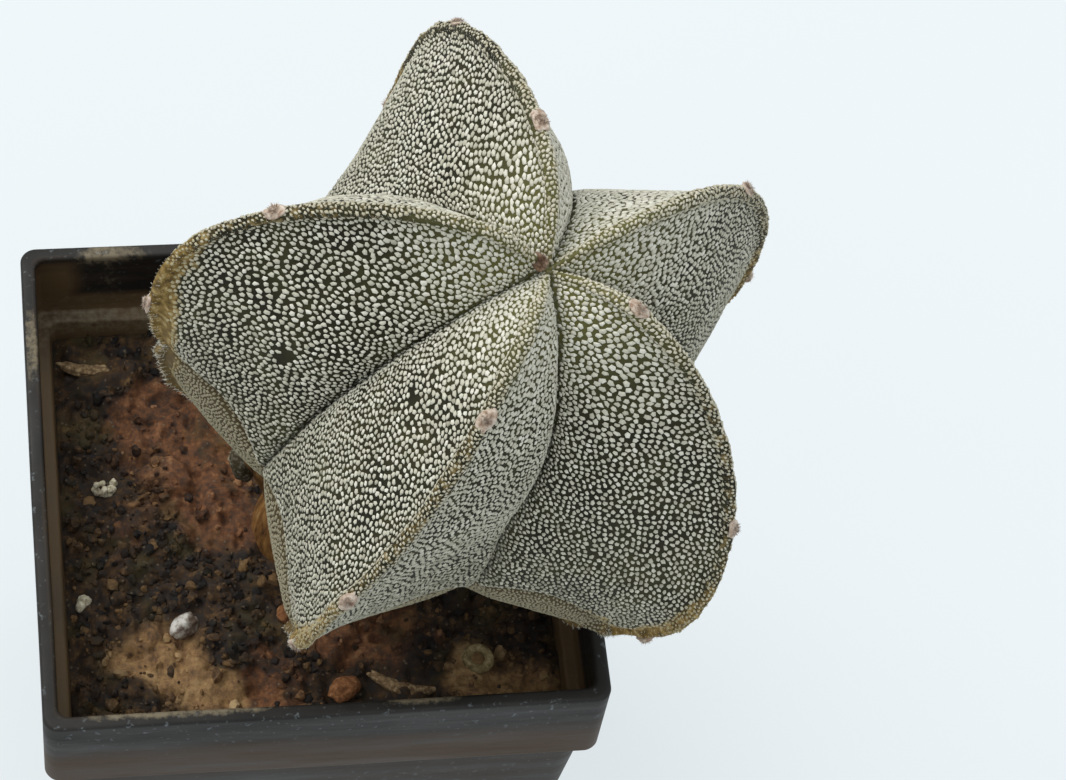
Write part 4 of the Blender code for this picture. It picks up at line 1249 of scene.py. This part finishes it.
def pot_profile():
    """Half width, corner radius, height and three grime numbers of each loop, outside then inside."""
    rim = POT_RIM_WIDTH / 2
    foot = POT_HEIGHT - COLLAR_HEIGHT
    ledge = POT_HEIGHT - LEDGE_DEPTH
    inner = rim - COLLAR_WALL
    wall = body_half_width(0) - inner_half_width(0)
    below = foot - COLLAR_FILLET
    collar = rim - COLLAR_DRAFT
    run = [(body_half_width(0) - BASE_BEVEL, 0)]
    run += quarter_round(run[-1], (body_half_width(BASE_BEVEL), BASE_BEVEL), 4)
    outer_body = [(body_half_width(z), z) for z in np.linspace(BASE_BEVEL, below, 14)[1:]]
    fillet = quarter_round(outer_body[-1], (collar - POT_EDGE, foot), 6, hollow=True)
    edge = quarter_round(fillet[-1], (collar, foot + POT_EDGE), 4)
    face = [(collar + (rim - collar) * k / 8, foot + POT_EDGE + (COLLAR_HEIGHT - 2 * POT_EDGE) * k / 8)
            for k in range(1, 9)]
    lip = [(rim - POT_EDGE * (1 - math.cos(a)), POT_HEIGHT - POT_EDGE * (1 - math.sin(a)))
           for a in np.linspace(0, math.pi / 2, 5)[1:]]
    lip_inner = [(inner + POT_EDGE * (1 - math.sin(a)), POT_HEIGHT - POT_EDGE * (1 - math.cos(a)))
                 for a in np.linspace(0, math.pi / 2, 5)]
    inside = [(inner, z) for z in np.linspace(POT_HEIGHT - POT_EDGE, ledge + POT_EDGE, 9)[1:]]
    sill_end = inner_half_width(ledge)
    sill = quarter_round(inside[-1], (inner - POT_EDGE, ledge), 4, hollow=True)
    sill += [(sill_end + POT_EDGE, ledge)]
    sill += quarter_round(sill[-1], (sill_end, ledge - POT_EDGE), 4)
    shaft = [(inner_half_width(z), z) for z in np.linspace(ledge - POT_EDGE, FLOOR_THICKNESS, 16)[1:]]
    loops = []
    for half, z in run + outer_body + fillet:
        loops.append((half, body_corner(z), z, 0.0, 0.5, 0.0))
    for half, z in edge + face + lip:
        grime = 1 - smooth_step(foot + 3 * MM, foot + 0.95 * COLLAR_HEIGHT, z)
        crust = smooth_step(POT_HEIGHT - 0.4 * MM, POT_HEIGHT, z) * 0.8
        loops.append((half, COLLAR_CORNER, z, 0.0, float(grime), float(crust)))
    for half, z in lip_inner:
        loops.append((half, COLLAR_CORNER / 2 + POT_EDGE, z, 0.45, 0.0, 1.0))
    for half, z in inside:
        loops.append((half, COLLAR_CORNER / 2, z, 1.0, 0.0, 0.6))
    for half, z in sill:
        loops.append((half, COLLAR_CORNER / 2, z, 1.0, 0.0, 0.8))
    for half, z in shaft:
        loops.append((half, max(body_corner(z) - wall, 0.5 * MM), z, 1.0, 0.0, 0.4))
    return loops


def make_pot(surface):
    loops = pot_profile()
    rings = np.array([rounded_square(half, corner, z) for half, corner, z, *_ in loops])
    levels, around, _ = rings.shape
    flat = rings * np.array((1, 1, 0))
    rings = rings + relief(rings, POT_WARP, 11)[..., None] * unit(flat)
    points = rings.reshape(-1, 3)
    faces = ring_faces(levels, around)
    faces.append(list(range(around))[::-1])
    faces.append(list(range(len(points) - around, len(points))))
    values = {key: np.repeat([loop[place] for loop in loops], around)
              for place, key in ((3, "inside"), (4, "low"), (5, "crust"))}
    limed = np.full(len(points), PLAIN_CRUST)
    for x, y, reach in LIME_PLACES:
        away = np.hypot((points[:, 0] - x * MM) / reach[0], (points[:, 1] - y * MM) / reach[1]) / MM
        limed = np.maximum(limed, 1 - (1 - PLAIN_CRUST) * smooth_step(0.6, 1.2, away))
    on_ledge = points[:, 2] < POT_HEIGHT - 0.7 * LEDGE_DEPTH
    inner = POT_RIM_WIDTH / 2 - COLLAR_WALL
    back_most = LEDGE_CRUST + (1 - LEDGE_CRUST) * smooth_step(0.8, 0.95, points[:, 1] / inner)
    values["crust"] = values["crust"] * np.where(on_ledge, back_most, limed)
    stained = (points[:, 0] < -0.85 * inner) | on_ledge
    values["inside"] = values["inside"] * np.where(stained, 1.0, STAIN_BESIDE)
    pot = add_piece("nursery_pot", points, faces, surface, values, 40)
    cut_drains(pot)
    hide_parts("pot")


def cut_drains(pot):
    holes = bpy.data.collections.new("drains")
    bpy.context.scene.collection.children.link(holes)
    for turn in range(DRAIN_COUNT):
        angle = math.radians(360 * turn / DRAIN_COUNT)
        reach = DRAIN_OFFSET * (1 if turn % 2 == 0 else math.sqrt(2))
        place = Vector((reach * math.cos(angle), reach * math.sin(angle), FLOOR_THICKNESS / 2))
        made = bmesh.new()
        bmesh.ops.create_cone(made, cap_ends=True, segments=48, radius1=DRAIN_RADIUS,
                              radius2=DRAIN_RADIUS, depth=3 * FLOOR_THICKNESS,
                              matrix=Matrix.Translation(place))
        mesh = bpy.data.meshes.new("drain")
        made.to_mesh(mesh)
        made.free()
        holes.objects.link(bpy.data.objects.new(f"drain_{turn}", mesh))
    cut = pot.modifiers.new("drains", "BOOLEAN")
    cut.operation = "DIFFERENCE"
    cut.operand_type = "COLLECTION"
    cut.collection = holes
    apply_modifier(pot, cut)
    for hole in list(holes.objects):
        bpy.data.objects.remove(hole)
    bpy.data.collections.remove(holes)


def apply_modifier(piece, modifier):
    bpy.context.view_layer.update()
    graph = bpy.context.evaluated_depsgraph_get()
    result = bpy.data.meshes.new_from_object(piece.evaluated_get(graph))
    piece.modifiers.remove(modifier)
    plain = piece.data
    piece.data = result
    bpy.data.meshes.remove(plain)


# The soil


def crumb_places():
    """The part's own crumbs: x, y and radius of each."""
    draw = random.Random(7)
    reach = inner_half_width(SOIL_TOP)
    crumbs = []
    for _ in range(CRUMB_COUNT):
        x = draw.uniform(-reach, reach)
        y = draw.uniform(-reach, reach)
        radius = CRUMB_RADII[0] + (CRUMB_RADII[1] - CRUMB_RADII[0]) * draw.random() ** 2
        crumbs.append((x, y, radius))
    return np.array(crumbs)


def soil_height(x, y, crumbs):
    """Height of the soil's surface: a gentle swell with round crumbs standing out of it."""
    spots = flat_spots(x, y).reshape(-1, 3) / SOIL_SWELL_LENGTH
    swell = np.array([SOIL_SWELL * noise.noise(Vector(p)) + SOIL_RIPPLE * noise.noise(Vector(p) * 4.1)
                      for p in spots.tolist()]).reshape(x.shape)
    crumb = np.zeros_like(x)
    for cx, cy, radius in crumbs:
        share = np.clip(((x - cx) ** 2 + (y - cy) ** 2) / radius ** 2, 0, 1)
        crumb = np.maximum(crumb, radius * CRUMB_RISE * np.sqrt(1 - share))
    from_stem = np.hypot(x - FOOT[0], y - FOOT[1])
    calm = smooth_step(SOIL_QUIET_RADIUS * 0.7, SOIL_QUIET_RADIUS * 1.3, from_stem)
    to_wall = inner_half_width(SOIL_TOP) - np.maximum(np.abs(x), np.abs(y))
    edge = SOIL_EDGE_DIP * (1 - smooth_step(0, SOIL_EDGE_SLOPE, to_wall))
    return SOIL_TOP - SOIL_RIPPLE + (swell + crumb - edge) * calm


def soil_grit(x, y):
    """Finer relief: clods of 2 mm, crumbs of 1 mm and grit, and pits where the soil has caked."""
    spots = flat_spots(x, y)
    clods = np.abs(relief(spots, CLODS, 21))
    crumbly = relief(spots, CRUMBLY, 22) + relief(spots, GRIT, 23)
    pits = -PIT_DEPTH * smooth_step(0.2, 0.6, lumps(spots, PIT_SIZE, 28)) + 0.5 * crumbly
    caked = np.maximum(*soil_colour_numbers(x, y))
    return (clods + crumbly) * (1 - CAKED_CALM * caked) + pits * caked


def broken_height(x, y, crumbs):
    """The soil's surface with its crumbs' outlines broken up, so that none is a plain ball."""
    spots = flat_spots(x, y)
    shift, other = (relief(spots, CRUMB_WANDER[0], seed) + relief(spots, CRUMB_WANDER[1], seed + 1)
                    for seed in (41, 43))
    return soil_height(x + shift, y + other, crumbs)


def soil_colour_numbers(x, y):
    """How rusty and how tan the soil is at each place, from 0 to 1."""
    spots = flat_spots(x, y)
    ragged = relief(spots, PATCH_WANDER[0], 24) + relief(spots, PATCH_WANDER[1], 25)
    found = []
    for patches, full, raggedness in ((RUST_PATCHES, 0.6, 1.0), (TAN_PATCHES, 0.55, 0.7)):
        share = np.zeros_like(x)
        for cx, cy, reach in patches:
            away = np.hypot(x - cx, y - cy) + raggedness * ragged
            share = np.maximum(share, 1 - smooth_step(full * reach, 1.1 * reach, away))
        found.append(share)
    return found


def soil_outline(half_width, corner, across, up):
    """Spreads a unit square's points over a square with rounded corners."""
    size = np.maximum(np.maximum(np.abs(across), np.abs(up)), 1e-9)
    x = across / size * half_width
    y = up / size * half_width
    centre = half_width - corner
    length = np.hypot(x, y)
    along = (np.abs(x) + np.abs(y)) / length * centre
    reach = along + np.sqrt(np.maximum(along ** 2 - 2 * centre ** 2 + corner ** 2, 0))
    in_corner = (np.abs(x) > centre) & (np.abs(y) > centre)
    scale = np.where(in_corner, reach / length, 1.0) * size
    return x * scale, y * scale


def make_soil(surface, crumbs):
    half = inner_half_width(SOIL_TOP)
    wall = body_half_width(0) - inner_half_width(0)
    line = np.linspace(-1, 1, SOIL_CELLS + 1)
    up, across = np.meshgrid(line, line, indexing="ij")
    x, y = soil_outline(half, body_corner(SOIL_TOP) - wall, across, up)
    rough = smooth_step(0.0, GRIT_FREE_BORDER, half - np.maximum(np.abs(x), np.abs(y)))
    z = broken_height(x, y, crumbs) + (soil_grit(x, y) - GRIT_MEAN) * rough
    count = SOIL_CELLS + 1
    index = np.arange(count * count).reshape(count, count)
    quads = np.stack([index[:-1, :-1], index[:-1, 1:], index[1:, 1:], index[1:, :-1]], -1)
    faces = quads.reshape(-1, 4).tolist()
    border = np.concatenate([index[0, :-1], index[:-1, -1], index[-1, :0:-1], index[:0:-1, 0]]).tolist()
    points = np.stack([x, y, z], -1).reshape(-1, 3)
    floor = FLOOR_THICKNESS + SOIL_CLEARANCE
    shrink = (inner_half_width(floor) - SOIL_CLEARANCE) / half
    lower = points[border] * np.array((shrink, shrink, 0)) + np.array((0, 0, floor))
    start = len(points)
    around = len(border)
    faces += [(border[j], border[i], start + i, start + j) for i, j in ring_pairs(around)]
    faces.append([start + i for i in range(around)][::-1])
    rust, tan = soil_colour_numbers(x, y)
    tone = 0.10 * lumps(np.stack([x, y, z], -1), 3 * MM, 26)
    values = {"rust": rust, "tan": tan, "tone": tone}
    values = {key: np.concatenate([v.ravel(), np.zeros(around)]) for key, v in values.items()}
    soil = add_piece("compost", np.vstack([points, lower]), faces, surface, values)
    turn_outward(soil)
    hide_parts("soil")


def make_small_crumbs(surface, crumbs):
    """Loose crumbs on the soil, most of them small, each a knobbly lump sunk to its middle."""
    draw = np.random.default_rng(9)
    half = inner_half_width(SOIL_TOP) - 0.8 * MM
    x = draw.uniform(-half, half, SMALL_CRUMBS)
    y = draw.uniform(-half, half, SMALL_CRUMBS)
    clear = np.hypot(x - FOOT[0], y - FOOT[1]) > STEM_RADIUS + 0.8 * MM
    for _, _, (bx, by), size, _, _ in LOOSE_BITS:
        clear &= np.hypot(x - bx * MM, y - by * MM) > (size[0] + 0.6) * MM
    clear &= np.maximum(*soil_colour_numbers(x, y)) * CAKED_CALM < draw.random(SMALL_CRUMBS)
    x, y = x[clear], y[clear]
    least, most = SMALL_CRUMB_RADII
    radius = least + (most - least) * draw.random(len(x)) ** 2.4
    z = broken_height(x, y, crumbs) + soil_grit(x, y) + radius * draw.uniform(-0.6, 0.2, len(x))
    centre = np.stack([x, y, z], -1)
    stretch = draw.uniform(0.7, 1.25, (len(x), 1, 3))
    rust, tan = soil_colour_numbers(x, y)
    numbers = {"rust": rust, "tan": tan, "tone": draw.normal(-0.02, 0.11, len(x))}
    solids = []
    values = {key: [] for key in numbers}
    for fineness, own in ((2, radius >= FINE_CRUMB), (1, radius < FINE_CRUMB)):
        ball, ball_faces = unit_ball(fineness)
        shape = ball[None] * stretch[own]
        place = shape + centre[own, None] * CRUMB_UNLIKENESS
        knob = 1 + 0.45 * lumps(place, 0.6, 27) + 0.3 * lumps(place, 0.3, 45)
        points = centre[own, None] + shape * knob[..., None] * radius[own, None, None]
        starts = (np.arange(own.sum()) * len(ball))[:, None, None]
        faces = np.array(ball_faces)[None] + starts
        solids.append((points.reshape(-1, 3), faces.reshape(-1, 3).tolist()))
        for key, number in numbers.items():
            values[key].append(np.repeat(number[own], len(ball)))
    points, faces = joined(solids)
    values = {key: np.concatenate(lots) for key, lots in values.items()}
    add_piece("soil_crumbs", points, faces, surface, values, 48)


# Loose bits


def grain_cluster(centre, outline, grains, size, number):
    """Perlite is a knot of small puffed grains that reach out to the lump's own outline."""
    draw = np.random.default_rng(number + 60)
    picked = outline[draw.choice(len(outline), grains, replace=False)]
    solids = []
    for place in picked:
        radius = size * np.linalg.norm(outline, axis=1).mean() * draw.uniform(0.75, 1.15)
        reach = max(0.0, 1 - radius / np.linalg.norm(place))
        seed = int(draw.integers(99))
        solids.append(tuft_cushion(centre + reach * place, unit(place), radius, 0.9, seed))
    return joined(solids)


def make_bits(surfaces, crumbs):
    for number, (name, kind, (x, y), size, turn, bend) in enumerate(LOOSE_BITS):
        ball, faces = unit_ball(5)
        draw = random.Random(number + 3)
        shift = Vector([draw.uniform(0, 40) for _ in range(3)])
        knob = np.array([1 + BIT_KNOBS * noise.noise(Vector(p) * 1.4 + shift) for p in ball.tolist()])
        fine = 0.10 * lumps(ball + number, 0.45, 31) + 0.05 * lumps(ball + number, 0.18, 32)
        shape = ball * (knob + fine)[:, None] * np.array(size) * MM
        shape[:, 1] += bend * (shape[:, 0] / (size[0] * MM)) ** 2 * MM
        angle = math.radians(turn)
        rotated = np.stack([shape[:, 0] * math.cos(angle) - shape[:, 1] * math.sin(angle),
                            shape[:, 0] * math.sin(angle) + shape[:, 1] * math.cos(angle),
                            shape[:, 2]], -1)
        height = float(soil_height(np.array([x * MM]), np.array([y * MM]), crumbs)[0])
        centre = np.array((x * MM, y * MM, height + size[2] * MM * (1 - 2 * BIT_SINK)))
        points = centre + rotated
        if kind == "perlite":
            points, faces = grain_cluster(centre, rotated, *PERLITE_GRAINS[name], number)
        piece = add_piece(name + "_finish", points, faces, surfaces[kind])
        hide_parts(name)


def make_husk(surface, crumbs):
    """A ring-like husk that lies on the soil, a little uneven."""
    around, sides = 96, 24
    height = float(soil_height(np.array([HUSK_PLACE[0]]), np.array([HUSK_PLACE[1]]), crumbs)[0])
    centre = np.array((*HUSK_PLACE, height + 0.3 * HUSK_THICKNESS))
    angle, tilt = np.meshgrid(np.arange(around) * 2 * np.pi / around,
                              np.arange(sides) * 2 * np.pi / sides, indexing="ij")
    reach = HUSK_RADIUS + HUSK_THICKNESS * np.cos(tilt)
    points = np.stack([reach * np.cos(angle), reach * np.sin(angle), HUSK_THICKNESS * np.sin(tilt)], -1)
    points = points * (1 + 0.10 * lumps(points, 0.7 * MM, 33)[..., None]) + centre
    faces = [(i * sides + j, k * sides + j, k * sides + m, i * sides + m)
             for i, k in ring_pairs(around) for j, m in ring_pairs(sides)]
    piece = add_piece("seed_husk_finish", points.reshape(-1, 3), faces, surface)
    turn_outward(piece)
    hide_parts("seed_husk")


# Floor, light and camera


def make_stage():
    made = bmesh.new()
    bmesh.ops.create_grid(made, x_segments=8, y_segments=8, size=3.0)
    mesh = bpy.data.meshes.new("studio_floor")
    made.to_mesh(mesh)
    made.free()
    mesh.materials.append(opal_sheet())
    floor = bpy.data.objects.new("studio_floor", mesh)
    bpy.context.scene.collection.objects.link(floor)


def add_softbox(name, place, size, watts, colour):
    light = bpy.data.lights.new(name, "AREA")
    light.shape = "SQUARE"
    light.size = size
    light.energy = watts
    light.color = srgb(colour)[:3]
    made = bpy.data.objects.new(name, light)
    bpy.context.scene.collection.objects.link(made)
    target = Vector((0, 0, 0.1))
    made.location = place
    made.rotation_euler = (target - Vector(place)).to_track_quat("-Z", "Y").to_euler()


def light_scene():
    world = bpy.data.worlds.new("soft_room")
    bpy.context.scene.world = world
    world.use_nodes = True
    tree = world.node_tree
    tree.nodes["Background"].inputs["Color"].default_value = srgb("f2f7fb")
    way = node(tree, "ShaderNodeTexCoord").outputs["Generated"]
    height = node(tree, "ShaderNodeSeparateXYZ", {"Vector": way}).outputs["Z"]
    strength = node(tree, "ShaderNodeMapRange", {"Value": height, "To Min": 0.15, "To Max": 1.4})
    tree.links.new(strength.outputs[0], tree.nodes["Background"].inputs["Strength"])
    add_softbox("window_light", (-0.55, 0.45, 0.95), 0.7, 5.5, "fffaf2")
    bpy.context.scene.view_settings.view_transform = "Standard"


def place_camera():
    """The camera's turn is built from where it looks from and its roll."""
    az, el, roll = CAMERA_AZIMUTH, CAMERA_ELEVATION, CAMERA_ROLL
    back = Vector((math.sin(az) * math.cos(el), -math.cos(az) * math.cos(el), math.sin(el)))
    level = Vector((math.cos(az), math.sin(az), 0))
    upright = back.cross(level)
    right = level * math.cos(roll) + upright * math.sin(roll)
    up = upright * math.cos(roll) - level * math.sin(roll)
    lens = bpy.data.cameras.new("photo_camera")
    lens.sensor_fit = "HORIZONTAL"
    lens.sensor_width = SENSOR_WIDTH_MM
    lens.lens = FOCAL_PIXELS * SENSOR_WIDTH_MM / PHOTO_WIDTH
    lens.clip_start = 0.01
    made = bpy.data.objects.new("photo_camera", lens)
    bpy.context.scene.collection.objects.link(made)
    turn = Matrix((right, up, back)).transposed().to_4x4()
    made.matrix_world = Matrix.Translation(CAMERA_PLACE) @ turn
    bpy.context.scene.camera = made


def main():
    place_camera()
    light_scene()
    make_stage()
    skin = finished_skin()
    hide = cactus_skin()
    make_skin(skin, hide)
    wool = fleck_wool()
    make_flecks(skin, wool)
    make_fringe(skin, wool)
    make_stem_knob(skin, hide, wool)
    make_areoles(skin, areole_wool("areole_felt", "957a66", "c2ae9b", "e2d6c8"),
                 areole_wool("crown_felt", "5a4030", "8c6f57", "b8a189"))
    make_pot(moulded_polypropylene())
    crumbs = crumb_places()
    compost = peat_compost()
    make_soil(compost, crumbs)
    make_small_crumbs(compost, crumbs)
    surfaces = {
        "perlite": grain_material("expanded_perlite", 0.5, ((0.3, "8d8165"), (0.5, "c9c0a4"),
                                  (0.7, "e6e1d0")), 0.95, 0.2),
        "pebble": grain_material("grey_quartz_pebble", 2.4, ((0.43, "57473a"), (0.52, "979084"),
                                 (0.6, "d0cdc6")), 0.6, 0.1),
        "clay": grain_material("fired_clay_grain", 0.8, ((0.3, "4a2c17"), (0.5, "80522d"),
                               (0.7, "a87b52")), 0.9, 0.2),
        "bark": grain_material("dry_pine_bark", 0.6, ((0.3, "3b2c1e"), (0.5, "7d6445"),
                               (0.7, "bba47c")), 0.9, 0.25),
    }
    make_bits(surfaces, crumbs)
    make_husk(grain_material("papery_seed_husk", 0.7, ((0.3, "4f4229"), (0.5, "8d7b53"),
                             (0.7, "b8a980")), 0.85, 0.15), crumbs)


main()
